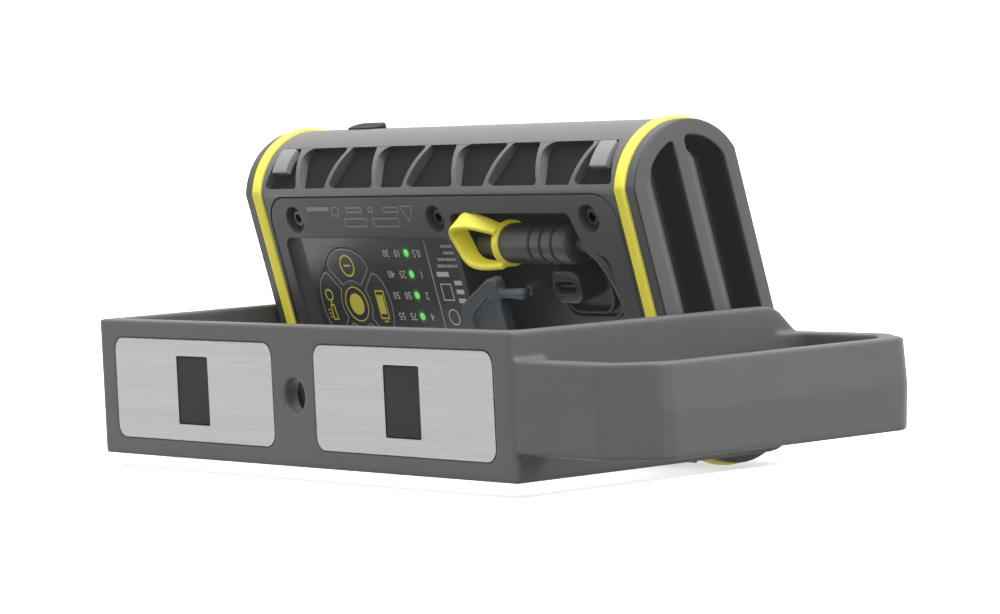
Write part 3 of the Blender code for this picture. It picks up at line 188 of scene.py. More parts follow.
def make_world():
    """A bright ceiling and a bright wall on the handle's side, in a dimmer room."""
    world = bpy.data.worlds.new("studio")
    tree = Tree(world)
    background = tree.nodes["Background"]
    background.inputs["Color"].default_value = (1, 1, 1, 1)
    place = tree.coordinates("Generated")

    def along(direction, start, end, low, high):
        dot = tree.add("ShaderNodeVectorMath", {1: direction}, {0: place}, operation="DOT_PRODUCT")
        return tree.spread(dot.outputs["Value"], start, end, low, high)

    front = along(KEY_SIDE, -0.3, 0.95, 0.05, 0.66)
    ceiling = along((0, 0, 1), 0.1, 0.95, 0.0, 2.3)
    below = along((0, 0, 1), -0.35, 0.05, 0.16, 1.0)
    strength = tree.maths("MULTIPLY", tree.maths("ADD", front, ceiling), below)
    tree.links.new(strength, background.inputs["Strength"])
    bpy.context.scene.world = world


def filled_mesh(name, bm):
    mesh = bpy.data.meshes.new(name)
    bm.to_mesh(mesh)
    bm.free()
    return mesh


def stage_piece(name, mesh, colour, glow):
    """A floor or a backdrop that shows to the camera and in reflections, and casts no light or shadow."""
    piece = bpy.data.objects.new(name, mesh)
    piece.visible_diffuse = False
    piece.visible_shadow = False
    bpy.context.scene.collection.objects.link(piece)
    mesh.materials.append(surface(f"studio_{name}", (colour,) * 3, 0.9, grain=0.0, scale=200, mottle=0.01,
                                  specular=0.1, emission=(1, 1, 1), strength=glow))
    return piece


def make_stage():
    make_world()
    bpy.context.scene.view_settings.view_transform = "Standard"
    sun_light("top_light", (0.24, 0.10, 1.0), 3.9, 40)
    sun_light("side_light", (1.0, 0.10, 0.25), 0.45, 30)
    bm = bmesh.new()
    bmesh.ops.create_grid(bm, x_segments=1, y_segments=1, size=7)
    stage_piece("floor", filled_mesh("floor", bm), 0.55, 0.62).location = (0, 0, CAD_BOX[0][2] - 0.2 * MM)
    bm = bmesh.new()
    bmesh.ops.create_icosphere(bm, subdivisions=4, radius=7.5)
    bmesh.ops.reverse_faces(bm, faces=bm.faces)
    stage_piece("backdrop", filled_mesh("backdrop", bm), 0.2, 1.1)


# ---------------------------------------------------------------- materials

def surface(name, colour, roughness, grain=0.05, scale=3200, mottle=0.06, metallic=0.0, stretch=(1, 1, 1),
            coat=0.0, emission=None, strength=0.0, specular=0.5, transmission=0.0):
    """A Principled material with a fine grain, uneven tone and uneven roughness in object space."""
    made = bpy.data.materials.new(name)
    tree = Tree(made)
    shader = tree.nodes["Principled BSDF"]
    settings = {"Metallic": metallic, "Coat Weight": coat, "Coat Roughness": 0.25,
                "Specular IOR Level": specular, "Transmission Weight": transmission}
    if emission:
        settings |= {"Emission Color": (*emission, 1), "Emission Strength": strength}
    for socket, value in settings.items():
        shader.inputs[socket].default_value = value
    stretched = tree.add("ShaderNodeMapping", {"Scale": stretch}, {"Vector": tree.coordinates()})

    def noise(at_scale, detail):
        values = {"Scale": at_scale, "Detail": detail}
        return tree.add("ShaderNodeTexNoise", values, {"Vector": stretched.outputs["Vector"]}).outputs["Fac"]

    fine, broad = noise(scale, 3), noise(scale / 40, 4)
    half_broad = tree.maths("MULTIPLY", broad, numbers={1: 0.5})
    blend = tree.add("ShaderNodeMath", {1: 0.5}, {0: fine, 2: half_broad}, operation="MULTIPLY_ADD")
    ends = {"A": (*[c * (1 - mottle) for c in colour], 1),
            "B": (*[min(1, c * (1 + mottle)) for c in colour], 1)}
    share = tree.spread(blend.outputs["Value"], 0.3, 0.7, 0, 1)
    tone = tree.add("ShaderNodeMix", sources={"Factor": share}, data_type="RGBA")
    for socket, value in ends.items():
        tone.inputs[socket].default_value = value
    tree.links.new(tone.outputs["Result"], shader.inputs["Base Color"])
    worn = tree.spread(broad, 0.3, 0.7, roughness - 0.05, roughness + 0.05)
    tree.links.new(worn, shader.inputs["Roughness"])
    if grain:
        bump = tree.add("ShaderNodeBump", {"Strength": grain, "Distance": 0.2 * MM}, {"Height": fine})
        tree.links.new(bump.outputs["Normal"], shader.inputs["Normal"])
    return made


def brushed(name, colour):
    """Brushed steel: fine streaks along x in tone, roughness and height."""
    made = surface(name, colour, 0.36, grain=0.12, scale=1.0, mottle=0.16, metallic=1.0,
                   stretch=(26, 900, 5200))
    return made


def painted_shade_ramp(name, shade_colour, own_colour, axis, near, far):
    """The grey housing with painted shade: a darker tone near the middle along one axis, changing to its own tone
    with the distance from the middle.
    """
    made = surface(name, own_colour, 0.42, grain=0.10, specular=0.4)
    tree = Tree(made)
    base = tree.nodes["Principled BSDF"].inputs["Base Color"]
    split = tree.add("ShaderNodeSeparateXYZ", sources={0: tree.coordinates()})
    share = tree.spread(tree.maths("ABSOLUTE", split.outputs[axis]), near, far, 0, 1)
    mix = tree.add("ShaderNodeMix", sources={"Factor": share}, data_type="RGBA")
    mix.inputs["A"].default_value = (*shade_colour, 1)
    tree.links.new(base.links[0].from_socket, mix.inputs["B"])
    tree.links.new(mix.outputs["Result"], base)
    return made


def glowing(name):
    """The key film lit green from a lamp at the object's origin, fading outwards."""
    made = surface(name, (0.03, 0.03, 0.031), 0.42, grain=0.05, emission=(0.05, 0.75, 0.08))
    tree = Tree(made)
    length = tree.add("ShaderNodeVectorMath", sources={0: tree.coordinates()}, operation="LENGTH")
    inner, outer = (math.hypot(KEYPAD_FACE, radius) for radius in (0.9 * MM, 2.4 * MM))
    fade = tree.spread(length.outputs["Value"], inner, outer, 0.16, 0.0, interpolation_type="SMOOTHSTEP")
    tree.links.new(fade, tree.nodes["Principled BSDF"].inputs["Emission Strength"])
    return made


# Painted light: a faint white glow on the dark and black plastics, standing in for fill light on their shaded
# sides.
PAINTED_FILL_LIGHT = dict(emission=(1, 1, 1), strength=0.010)
RECIPES = {
    "grey_plastic": ((0.083, 0.083, 0.083), 0.50, dict(grain=0.10, specular=0.28)),
    "dark_plastic": ((0.036, 0.036, 0.037), 0.55, dict(grain=0.10, specular=0.34, **PAINTED_FILL_LIGHT)),
    "black_plastic": ((0.026, 0.026, 0.027), 0.45, dict(grain=0.06, **PAINTED_FILL_LIGHT)),
    "clip_plastic": ((0.20, 0.20, 0.20), 0.5, dict(grain=0.08)),
    "bolt_steel": ((0.27, 0.27, 0.28), 0.36, dict(metallic=1.0, grain=0.03, stretch=(1, 40, 40), scale=40)),
    "black_steel": ((0.03, 0.03, 0.032), 0.38, dict(metallic=0.6, grain=0.03)),
    "magnet": ((0.5, 0.5, 0.48), 0.3, dict(metallic=1.0, grain=0.02)),
    "dark_rubber": ((0.026, 0.026, 0.027), 0.75, dict(grain=0.12, scale=2600, specular=0.22)),
    # Painted light: the yellow rubber glows a little, so its shaded underside stays as bright as its lit top.
    "yellow_rubber": ((0.72, 0.655, 0.055), 0.55,
                      dict(grain=0.06, mottle=0.04, emission=(0.72, 0.62, 0.05), strength=0.20)),
    "blue_grey_rubber": ((0.062, 0.074, 0.083), 0.5, dict(grain=0.06)),
    "key_film": ((0.032, 0.032, 0.033), 0.40, dict(grain=0.05, coat=0.12)),
    "lens_clear": ((0.30, 0.31, 0.31), 0.35, dict(grain=0.25, scale=1400, transmission=0.3, mottle=0.10)),
    "reflector_white": ((0.8, 0.8, 0.8), 0.3, dict(grain=0.02)),
    "board_green": ((0.02, 0.12, 0.05), 0.45, dict(grain=0.05)),
    "board_white": ((0.8, 0.8, 0.78), 0.4, dict(grain=0.03)),
    "emitter_yellow": ((0.8, 0.62, 0.12), 0.5, dict(grain=0.25, scale=900, mottle=0.25)),
    "sink_aluminium": ((0.3, 0.3, 0.32), 0.45, dict(metallic=1.0, grain=0.08)),
    "cell_wrap": ((0.03, 0.15, 0.4), 0.4, dict(grain=0.03)),
}
SHADES = {name: surface(name, colour, rough, **more) for name, (colour, rough, more) in RECIPES.items()}
SHADES["brushed_steel"] = brushed("brushed_steel", (0.245, 0.245, 0.245))
SHADES["lamp_green"] = surface("lamp_green", (0.12, 0.5, 0.14), 0.3, grain=0.02, emission=(0.2, 0.85, 0.2),
                               strength=0.55)
PRINT_GREY = surface("print_grey", (0.36, 0.36, 0.36), 0.5, grain=0.03)
PRINT_DIM = surface("print_dim", (0.19, 0.19, 0.19), 0.5, grain=0.03)
PRINT_WHITE = surface("print_white", (0.62, 0.62, 0.62), 0.5, grain=0.03)
PRINT_YELLOW = surface("print_yellow", (0.70, 0.65, 0.07), 0.5, grain=0.03)
LAMP_GLOW = glowing("lamp_glow")
# Painted shade: a near-black material for sheets set deep in slots and cells, standing in for the shade there; a
# faint glow keeps it just off black.
PAINTED_SHADE_BLACK = surface("painted_shade_black", (0.010, 0.010, 0.010), 0.6, grain=0.05, specular=0.04,
                     emission=(1, 1, 1), strength=0.017)
# Painted shade: the rear shell is darker round the cover, on its flat side that faces down and away from the
# light, and keeps its own grey on the crowns.
REAR_SHELL_PAINTED_SHADE = painted_shade_ramp("rear_shell_painted_shade", (0.034, 0.034, 0.035), (0.104, 0.104, 0.104), "Z",
                      COVER_HEIGHT / 2 - 0.2 * MM, COVER_HEIGHT / 2 + 0.5 * MM)
# Painted shade: the end-cap scoops darken as they sink below the cap face, away from the light.
SCOOP_PAINTED_SHADE = painted_shade_ramp("scoop_painted_shade", (0.022, 0.022, 0.022), (0.083, 0.083, 0.083), "X",
                       HEAD_END - 3.4 * MM, HEAD_END - 0.3 * MM)


# ---------------------------------------------------------------- outlines

def arc(centre_x, centre_y, radius, start, end, steps):
    angles = [start + (end - start) * i / steps for i in range(steps + 1)]
    return [(centre_x + radius * math.cos(a), centre_y + radius * math.sin(a)) for a in angles]


def circle(centre_x, centre_y, diameter, steps=48):
    return arc(centre_x, centre_y, diameter / 2, 0, 2 * math.pi, steps)[:-1]


def rounded(corners, radius, steps=8):
    """The closed outline through these corners, each rounded by its radius."""
    radii = radius if isinstance(radius, (list, tuple)) else [radius] * len(corners)
    outline = []
    for i, (corner, r) in enumerate(zip(corners, radii)):
        here = Vector(corner)
        before = (Vector(corners[i - 1]) - here).normalized()
        after = (Vector(corners[(i + 1) % len(corners)]) - here).normalized()
        if r <= 0:
            outline.append(tuple(here))
            continue
        half_angle = before.angle(after) / 2
        middle = here + (before + after).normalized() * (r / math.sin(half_angle))
        start = here + before * (r / math.tan(half_angle)) - middle
        end = here + after * (r / math.tan(half_angle)) - middle
        turn = start.angle_signed(end)
        for k in range(steps + 1):
            outline.append(tuple(middle + Matrix.Rotation(-turn * k / steps, 2) @ start))
    return outline


def rectangle(low_x, low_y, high_x, high_y):
    return [(low_x, low_y), (high_x, low_y), (high_x, high_y), (low_x, high_y)]


def rounded_rectangle(width, height, radius, centre=(0, 0), steps=8):
    x, y = centre
    corners = rectangle(x - width / 2, y - height / 2, x + width / 2, y + height / 2)
    return rounded(corners, radius, steps)


def crown_arc(offset, start, end, steps=40):
    """Points (y, z) of the top crown, at angles from straight up, positive towards the lens side."""
    radius = CROWN_RADIUS + offset
    angles = [start + (end - start) * i / steps for i in range(steps + 1)]
    return [(radius * math.sin(a), CROWN_CENTRE + radius * math.cos(a)) for a in angles]


def crown_spread(offset):
    return math.asin((HALF_DEPTH + offset) / (CROWN_RADIUS + offset))


def upside_down(points):
    return [(y, -z) for y, z in reversed(points)]


def head_outline(offset=0.0, steps=40):
    spread = crown_spread(offset)
    top = crown_arc(offset, spread, -spread, steps)
    return top + upside_down(top)


# ---------------------------------------------------------------- meshes

PLANES = {
    "XY": Matrix.Identity(4),
    "YZ": Matrix(((0, 0, 1, 0), (1, 0, 0, 0), (0, 1, 0, 0), (0, 0, 0, 1))),
    "XZ": Matrix(((1, 0, 0, 0), (0, 0, -1, 0), (0, 1, 0, 0), (0, 0, 0, 1))),
}
NORMAL_SIGN = {"XY": 1, "YZ": 1, "XZ": -1}


def from_object(obj):
    """The object's mesh with its modifiers, as a new mesh; the object is removed."""
    mesh = bpy.data.meshes.new_from_object(obj.evaluated_get(bpy.context.evaluated_depsgraph_get()))
    bpy.data.objects.remove(obj)
    return mesh


def guide(data):
    obj = bpy.data.objects.new("guide", data)
    bpy.context.scene.collection.objects.link(obj)
    return obj


def edited(mesh, change):
    bm = bmesh.new()
    bm.from_mesh(mesh)
    change(bm)
    bm.to_mesh(mesh)
    bm.free()
    return mesh


def extruded(outlines, low, high, plane):
    """A closed solid with these outlines, holes after the first, from low to high along the normal."""
    curve = bpy.data.curves.new("outline", "CURVE")
    curve.dimensions = "2D"
    curve.fill_mode = "BOTH"
    curve.extrude = (high - low) / 2
    for outline in outlines:
        spline = curve.splines.new("POLY")
        spline.points.add(len(outline) - 1)
        spline.use_cyclic_u = True
        for point, (x, y) in zip(spline.points, outline):
            point.co = (x, y, 0, 1)
    move = PLANES[plane] @ Matrix.Translation((0, 0, NORMAL_SIGN[plane] * (low + high) / 2))

    def clean(bm):
        bmesh.ops.remove_doubles(bm, verts=bm.verts, dist=0.0005 * MM)
        bmesh.ops.transform(bm, matrix=move, verts=bm.verts)
        bmesh.ops.recalc_face_normals(bm, faces=bm.faces)
        bmesh.ops.dissolve_limit(bm, angle_limit=math.radians(0.4), verts=bm.verts, edges=bm.edges)

    return edited(from_object(guide(curve)), clean)


def offset_outline(outline, inset):
    """The closed outline moved inwards by inset."""
    points = [Vector(p) for p in outline]
    count = len(points)
    turning = sum(p.cross(points[(i + 1) % count]) for i, p in enumerate(points))
    sign = 1 if turning > 0 else -1
    moved = []
    for i, p in enumerate(points):
        into = (p - points[i - 1]).normalized()
        away = (points[(i + 1) % count] - p).normalized()
        mitre = Vector((-into.y - away.y, into.x + away.x)) / max(0.4, 1 + into.dot(away))
        moved.append(tuple(p + mitre * inset * sign))
    return moved


def distinct(outline):
    """The outline without points that repeat the one before."""
    return [p for i, p in enumerate(outline) if (Vector(p) - Vector(outline[i - 1])).length > 0.002 * MM]


def prism(outlines, low, high, plane, low_round=0.0, high_round=0.0, steps=3):
    """A closed solid between two levels, holes after the first outline, with rounded rims at either level."""
    outlines = [distinct(outline) for outline in outlines]
    turns = [math.pi / 2 * k / steps for k in range(steps + 1)]
    levels = [(low_round * (1 - math.sin(t)), low + low_round * (1 - math.cos(t))) for t in turns]
    levels += [(high_round * (1 - math.sin(t)), high - high_round * (1 - math.cos(t)))
               for t in reversed(turns)]
    if not low_round:
        levels = [(0, low)] + levels[steps + 1:]
    if not high_round:
        levels = levels[:-steps - 1] + [(0, high)]
    place, sign = PLANES[plane], NORMAL_SIGN[plane]
    mesh = bpy.data.meshes.new("prism")
    bm = bmesh.new()
    for k, outline in enumerate(outlines):
        rings = []
        for inset, level in levels:
            ring = offset_outline(outline, inset if k == 0 else -inset)
            rings.append([bm.verts.new(place @ Vector((x, y, sign * level))) for x, y in ring])
        for first, second in zip(rings, rings[1:]):
            for i in range(len(first)):
                j = (i + 1) % len(first)
                bm.faces.new((first[i], first[j], second[j], second[i]))
    for inset, level in (levels[0], levels[-1]):
        lid = filled([offset_outline(o, inset if k == 0 else -inset) for k, o in enumerate(outlines)])
        lid.transform(place @ Matrix.Translation((0, 0, sign * level)))
        bm.from_mesh(lid)
    bmesh.ops.remove_doubles(bm, verts=bm.verts, dist=0.0005 * MM)
    bmesh.ops.recalc_face_normals(bm, faces=bm.faces)
    bm.to_mesh(mesh)
    bm.free()
    return mesh


def filled(outlines):
    """A flat mesh inside the first outline and outside the others."""
    curve = bpy.data.curves.new("lid", "CURVE")
    curve.dimensions = "2D"
    curve.fill_mode = "BOTH"
    for outline in outlines:
        spline = curve.splines.new("POLY")
        spline.points.add(len(outline) - 1)
        spline.use_cyclic_u = True
        for point, (x, y) in zip(spline.points, outline):
            point.co = (x, y, 0, 1)
    return from_object(guide(curve))


def swept(sections, closed=True):
    """A closed solid through rings of points; the rings follow each other, and the last meets the first."""
    mesh = bpy.data.meshes.new("swept")
    bm = bmesh.new()
    rings = [[bm.verts.new(p) for p in ring] for ring in sections]
    pairs = list(zip(rings, rings[1:])) + ([(rings[-1], rings[0])] if closed else [])
    for first, second in pairs:
        count = len(first)
        for i in range(count):
            j = (i + 1) % count
            bm.faces.new((first[i], first[j], second[j], second[i]))
    if not closed:
        bm.faces.new(rings[0])
        bm.faces.new(list(reversed(rings[-1])))
    bmesh.ops.recalc_face_normals(bm, faces=bm.faces)
    bm.to_mesh(mesh)
    bm.free()
    return mesh


def lathe(profile, axis="X", steps=40):
    """A closed solid turned about the axis from (along, radius) points; its ends close on the axis."""
    rings = []
    for along, radius in profile:
        ring = [(along, radius * math.cos(a), radius * math.sin(a))
                for a in (2 * math.pi * i / steps for i in range(steps))]
        rings.append(ring if axis == "X" else [(b, a, c) for a, b, c in ring])
    return swept(rings, closed=False)


def together(meshes):
    joined = bpy.data.meshes.new("together")
    bm = bmesh.new()
    for mesh in meshes:
        bm.from_mesh(mesh)
    bm.to_mesh(joined)
    bm.free()
    return joined


def boolean(mesh, other, operation):
    base, tool = guide(mesh), guide(other)
    modifier = base.modifiers.new("Boolean", "BOOLEAN")
    modifier.operation = operation
    modifier.solver = "EXACT"
    modifier.object = tool
    result = from_object(base)
    bpy.data.objects.remove(tool)
    return result


def bevelled(mesh, width, segments=3, angle=32):
    obj = guide(mesh)
    modifier = obj.modifiers.new("Bevel", "BEVEL")
    modifier.width = width
    modifier.segments = segments
    modifier.limit_method = "ANGLE"
    modifier.angle_limit = math.radians(angle)
    modifier.use_clamp_overlap = False
    modifier.loop_slide = False
    modifier.miter_outer = "MITER_ARC"
    return from_object(obj)


def softened(mesh, voxel, rounds, hold=None):
    """The mesh rebuilt from small cells, its edges worn round; hold(points) scales it per point."""
    obj = guide(mesh)
    modifier = obj.modifiers.new("Remesh", "REMESH")
    modifier.mode = "VOXEL"
    modifier.voxel_size = voxel
    soft = from_object(obj)
    count = len(soft.vertices)
    points = np.empty(count * 3)
    soft.vertices.foreach_get("co", points)
    points = points.reshape(-1, 3)
    ends = np.empty(len(soft.edges) * 2, np.int64)
    soft.edges.foreach_get("vertices", ends)
    a, b = ends[0::2], ends[1::2]
    degree = np.bincount(a, minlength=count) + np.bincount(b, minlength=count)
    share = np.ones(count) if hold is None else hold(points)
    for _ in range(rounds):
        total = np.zeros_like(points)
        for k in range(3):
            total[:, k] = (np.bincount(a, weights=points[b, k], minlength=count)
                           + np.bincount(b, weights=points[a, k], minlength=count))
        points += 0.6 * share[:, None] * (total / degree[:, None] - points)
    soft.vertices.foreach_set("co", points.ravel())
    soft.update()
    return soft


def mirrored(mesh):
    def flip(bm):
        bmesh.ops.scale(bm, vec=(-1, 1, 1), verts=bm.verts)
        bmesh.ops.reverse_faces(bm, faces=bm.faces)

    return edited(mesh.copy(), flip)


def both_sides(mesh):
    return (("left", mirrored(mesh)), ("right", mesh))


def show(name, mesh, shade, body, stands_for=(), matrix=HEAD, flat=False):
    """Adds a visible piece with its material, its body and the CAD nodes it stands for."""
    obj = bpy.data.objects.new(name, mesh)
    obj.matrix_world = matrix
    bpy.context.scene.collection.objects.link(obj)
    mesh.materials.clear()
    mesh.materials.append(shade)
    if not flat:
        mesh.shade_smooth()
        mesh.set_sharp_from_angle(angle=math.radians(40))
        if mesh.polygons and len(mesh.polygons) < 60000:
            weighted = obj.modifiers.new("WeightedNormal", "WEIGHTED_NORMAL")
            weighted.keep_sharp = True
    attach(obj, body)
    if stands_for:
        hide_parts(*stands_for)
    return obj


def tube(name, points, diameter, shade, body, stands_for=(), sides=6):
    curve = bpy.data.curves.new(name, "CURVE")
    curve.dimensions = "3D"
    curve.bevel_depth = diameter / 2
    curve.bevel_resolution = sides
    curve.use_fill_caps = True
    spline = curve.splines.new("POLY")
    spline.points.add(len(points) - 1)
    for point, place in zip(spline.points, points):
        point.co = (*place, 1)

    def clean(bm):
        bmesh.ops.remove_doubles(bm, verts=bm.verts, dist=0.001 * MM)
        bmesh.ops.recalc_face_normals(bm, faces=bm.faces)

    mesh = edited(from_object(guide(curve)), clean)
    return show(name, mesh, shade, body, stands_for)


# ---------------------------------------------------------------- bracket

def bracket_plan():
    end = BRACKET_END + ARM_WALL
    outside = rectangle(-ARM_OUTSIDE, PANEL_FRONT, ARM_OUTSIDE, end)
    inner_y = PANEL_FRONT + PANEL_THICKNESS
    inside = [(ARM_INSIDE, end), (ARM_INSIDE, inner_y), (-ARM_INSIDE, inner_y), (-ARM_INSIDE, end)]
    return rounded(outside[:3] + inside + outside[3:],
                   [1.2 * MM, 1.2 * MM, 0, 0, 4 * MM, 4 * MM, 0, 0])


def arm_profile():
    start = PANEL_FRONT - PANEL_THICKNESS
    shoulder = BRACKET_END - ARM_END_CHAMFER
    corners = [(start, 0), (shoulder, 0), (BRACKET_END, ARM_END_CHAMFER),
               (BRACKET_END, BRACKET_HEIGHT - ARM_END_CHAMFER), (shoulder, BRACKET_HEIGHT),
               (start, BRACKET_HEIGHT)]
    return rounded(corners, [0, 8 * MM, 4 * MM, 4 * MM, 8 * MM, 0])


def handle_plan():
    """The handle seen from above; a shallow valley parts each chamfer from the grip."""
    far, root = ARM_OUTSIDE + HANDLE_REACH, ARM_OUTSIDE - ARM_WALL / 2
    front, rear = PANEL_FRONT + 0.35 * MM, BRACKET_END - 0.6 * MM
    cut, dip, rise = HANDLE_CHAMFER, 1.7 * MM, 2.8 * MM
    long, short = cut + 4.0 * MM, cut - 3.6 * MM
    outline = [(root, front), (far - long, front), (far - dip, front + short), (far, front + short + rise),
               (far, rear - short - rise), (far - dip, rear - short), (far - long, rear), (root, rear)]
    near, back, right = front + HANDLE_WALL, rear - HANDLE_WALL, far - HANDLE_WALL
    inner = cut - HANDLE_WALL * 0.586
    left = ARM_OUTSIDE - 0.5 * MM
    hole = [(left, near), (right - inner, near), (right, near + inner), (right, back - inner),
            (right - inner, back), (left, back)]
    soft = 8 * MM
    return (rounded(outline, [0, 4 * MM, 1.6 * MM, 3 * MM, 3 * MM, 1.6 * MM, 4 * MM, 0]),
            rounded(hole, [soft, 6 * MM, 6 * MM, 6 * MM, 6 * MM, soft]))


def drafted_handle():
    low, high = MID_HEIGHT - HANDLE_HEIGHT / 2, MID_HEIGHT + HANDLE_HEIGHT / 2
    mesh = extruded(handle_plan(), low, high, "XY")
    outer = ARM_OUTSIDE + HANDLE_REACH - HANDLE_WALL * 0.6

    def draft(bm):
        geometry = bm.verts[:] + bm.edges[:] + bm.faces[:]
        bmesh.ops.bisect_plane(bm, geom=geometry, plane_co=(0, 0, MID_HEIGHT), plane_no=(0, 0, 1))
        for vert in bm.verts:
            if vert.co.x > outer and abs(vert.co.z - MID_HEIGHT) > HANDLE_HEIGHT / 4:
                vert.co.x -= 0.9 * MM

    return edited(mesh, draft)


def round_bar(diameter, low, high, axis, centre=(0, 0), steps=48):
    x, y = centre
    plane = {"X": "YZ", "Y": "XZ", "Z": "XY"}[axis]
    return extruded([circle(x, y, diameter, steps)], low, high, plane)


def bracket_cutters():
    cutters = []
    for side in (-1, 1):
        centre = (side * PLATE_CENTRE, MID_HEIGHT)
        plate = rounded_rectangle(PLATE_LENGTH + 0.1 * MM, PLATE_HEIGHT + 0.1 * MM, PLATE_CORNER, centre)
        cutters.append(extruded([plate], PANEL_FRONT - 3 * MM, PANEL_FRONT + 1.1 * MM, "XZ"))
        middle = (SWIVEL.y, MID_HEIGHT)
        ends = sorted((side * (ARM_OUTSIDE - BOLT_HEAD_HEIGHT - GAP), side * (ARM_OUTSIDE + 3 * MM)))
        cutters.append(round_bar(BOLT_HEAD + 2 * GAP, *ends, "X", middle))
    cutters.append(round_bar(HANG_HOLE, PANEL_FRONT - 3 * MM, PANEL_FRONT + 9 * MM, "Y", (0, MID_HEIGHT)))
    return together(cutters)


def near_plates(points):
    """Less wear at the rims of the plate recesses, which stay tight round the plates."""
    x = np.abs(np.abs(points[:, 0]) - PLATE_CENTRE) - PLATE_LENGTH / 2
    z = np.abs(points[:, 2] - MID_HEIGHT) - PLATE_HEIGHT / 2
    on_panel = (points[:, 1] < PANEL_FRONT + 1.6 * MM) & (np.maximum(x, z) < 2.2 * MM)
    return np.where(on_panel, 0.25, 1.0)


def make_bracket():
    body = extruded([bracket_plan()], -ARM_WALL, BRACKET_HEIGHT + ARM_WALL, "XY")
    body = boolean(body, extruded([arm_profile()], -0.2, 0.2, "YZ"), "INTERSECT")
    body = boolean(body, drafted_handle(), "UNION")
    body = boolean(body, bracket_cutters(), "DIFFERENCE")
    body = softened(body, 0.45 * MM, 7, near_plates)
    show("bracket_body", body, SHADES["grey_plastic"], "bracket", ["bracket_frame"], WORLD)


def make_plates():
    for name, side in (("left", -1), ("right", 1)):
        centre = (side * PLATE_CENTRE, MID_HEIGHT)
        window = rounded_rectangle(PAD_LENGTH + 0.3 * MM, PAD_HEIGHT + 0.3 * MM, 0.5 * MM, centre, 3)
        plate = rounded_rectangle(PLATE_LENGTH, PLATE_HEIGHT, PLATE_CORNER, centre)
        mesh = prism([plate, window], PANEL_FRONT, PANEL_FRONT + 0.8 * MM, "XZ", 0.16 * MM)
        show(f"steel_plate_{name}", mesh, SHADES["brushed_steel"], "bracket",
             [f"magnet_plate_{name}"], WORLD)
        pad = rounded_rectangle(PAD_LENGTH, PAD_HEIGHT, 0.5 * MM, centre, 3)
        mesh = prism([pad], PANEL_FRONT + 0.3 * MM, PANEL_FRONT + 2.4 * MM, "XZ", 0.2 * MM)
        show(f"rubber_window_{name}", mesh, SHADES["dark_rubber"], "bracket",
             [f"magnet_pad_{name}"], WORLD)


def make_bolts():
    """Pan heads with a hex socket, sunk in the arms."""
    for name, side in (("left", -1), ("right", 1)):
        top = ARM_OUTSIDE - 0.05 * MM
        head = round_bar(BOLT_HEAD, ARM_OUTSIDE - BOLT_HEAD_HEIGHT, top, "X")
        shank = round_bar(7.9 * MM, 78 * MM, ARM_OUTSIDE - BOLT_HEAD_HEIGHT / 2, "X")
        socket = extruded([circle(0, 0, 5.8 * MM, 6)], top - 1.9 * MM, top + 2 * MM, "YZ")
        mesh = bevelled(boolean(boolean(head, shank, "UNION"), socket, "DIFFERENCE"), 0.35 * MM, 3)
        mesh = mesh if side > 0 else mirrored(mesh)
        show(f"swivel_bolt_head_{name}", mesh, SHADES["bolt_steel"], "bracket",
             [f"swivel_bolt_{name}"], Matrix.Translation((0, SWIVEL.y, MID_HEIGHT)))


# ---------------------------------------------------------------- head ends

def ring_of(section, steps=40):
    """A solid swept along the head's outline through (x, offset) section points."""
    return swept([[(x, y, z) for y, z in head_outline(offset, steps)] for x, offset in section])


def make_rings():
    a, b = RING_INNER, RING_INNER + RING_WIDTH
    section = [(a, -1.5 * MM), (a, 0.25 * MM), (a + 0.12 * MM, 0.5 * MM), (a + 0.45 * MM, 0.72 * MM),
               (a + 1.0 * MM, 0.79 * MM), (b - 1.0 * MM, 0.79 * MM), (b - 0.45 * MM, 0.72 * MM),
               (b - 0.12 * MM, 0.5 * MM), (b, 0.25 * MM), (b, -1.5 * MM)]
    for name, mesh in both_sides(ring_of(section)):
        show(f"yellow_ring_{name}", mesh, SHADES["yellow_rubber"], "head",
             [f"accent_ring_{name}"])


SLOT_INNER, SLOT_OUTER = 1.95 * MM, 13.85 * MM
SLOT_FOOT = -11.0 * MM


def cap_slot(grow=0.0):
    """The long recess on the lens side (y, z)."""
    outer, inner, foot = SLOT_OUTER + grow, SLOT_INNER - grow, SLOT_FOOT - grow
    radius = CROWN_RADIUS - 4.3 * MM + grow
    start, end = math.asin(outer / radius), math.asin(inner / radius)
    top = [(radius * math.sin(a), CROWN_CENTRE + radius * math.cos(a))
           for a in (start + (end - start) * i / 8 for i in range(9))]
    corners = [(outer, foot)] + top + [(inner, foot)]
    return rounded(corners, [2.5 * MM] + [0] * 8 + [1.3 * MM, 2.5 * MM], 6)


def other_side(outline):
    return [(-y, z) for y, z in reversed(outline)]


def scoop_section(near, edge, z):
    """The scoop cut level: it bows away from the face and ends in a small bead over the drop."""
    face, back, fall = HEAD_END - 0.45 * MM, HEAD_END - 9.6 * MM, 3.6 * MM
    bead = min(0.5 * MM, 0.3 * (edge - near))
    curve = [(face - fall * (i / 16) ** 2, near + (edge - bead - near) * i / 16) for i in range(17)]
    foot = face - fall
    lip = [(foot + 0.3 * MM, edge - 0.85 * bead), (foot + 0.42 * MM, edge - 0.5 * bead),
           (foot + 0.3 * MM, edge - 0.2 * bead), (foot, edge)]
    return [(x, y, z) for x, y in [(back, near)] + curve + lip + [(back, edge)]]


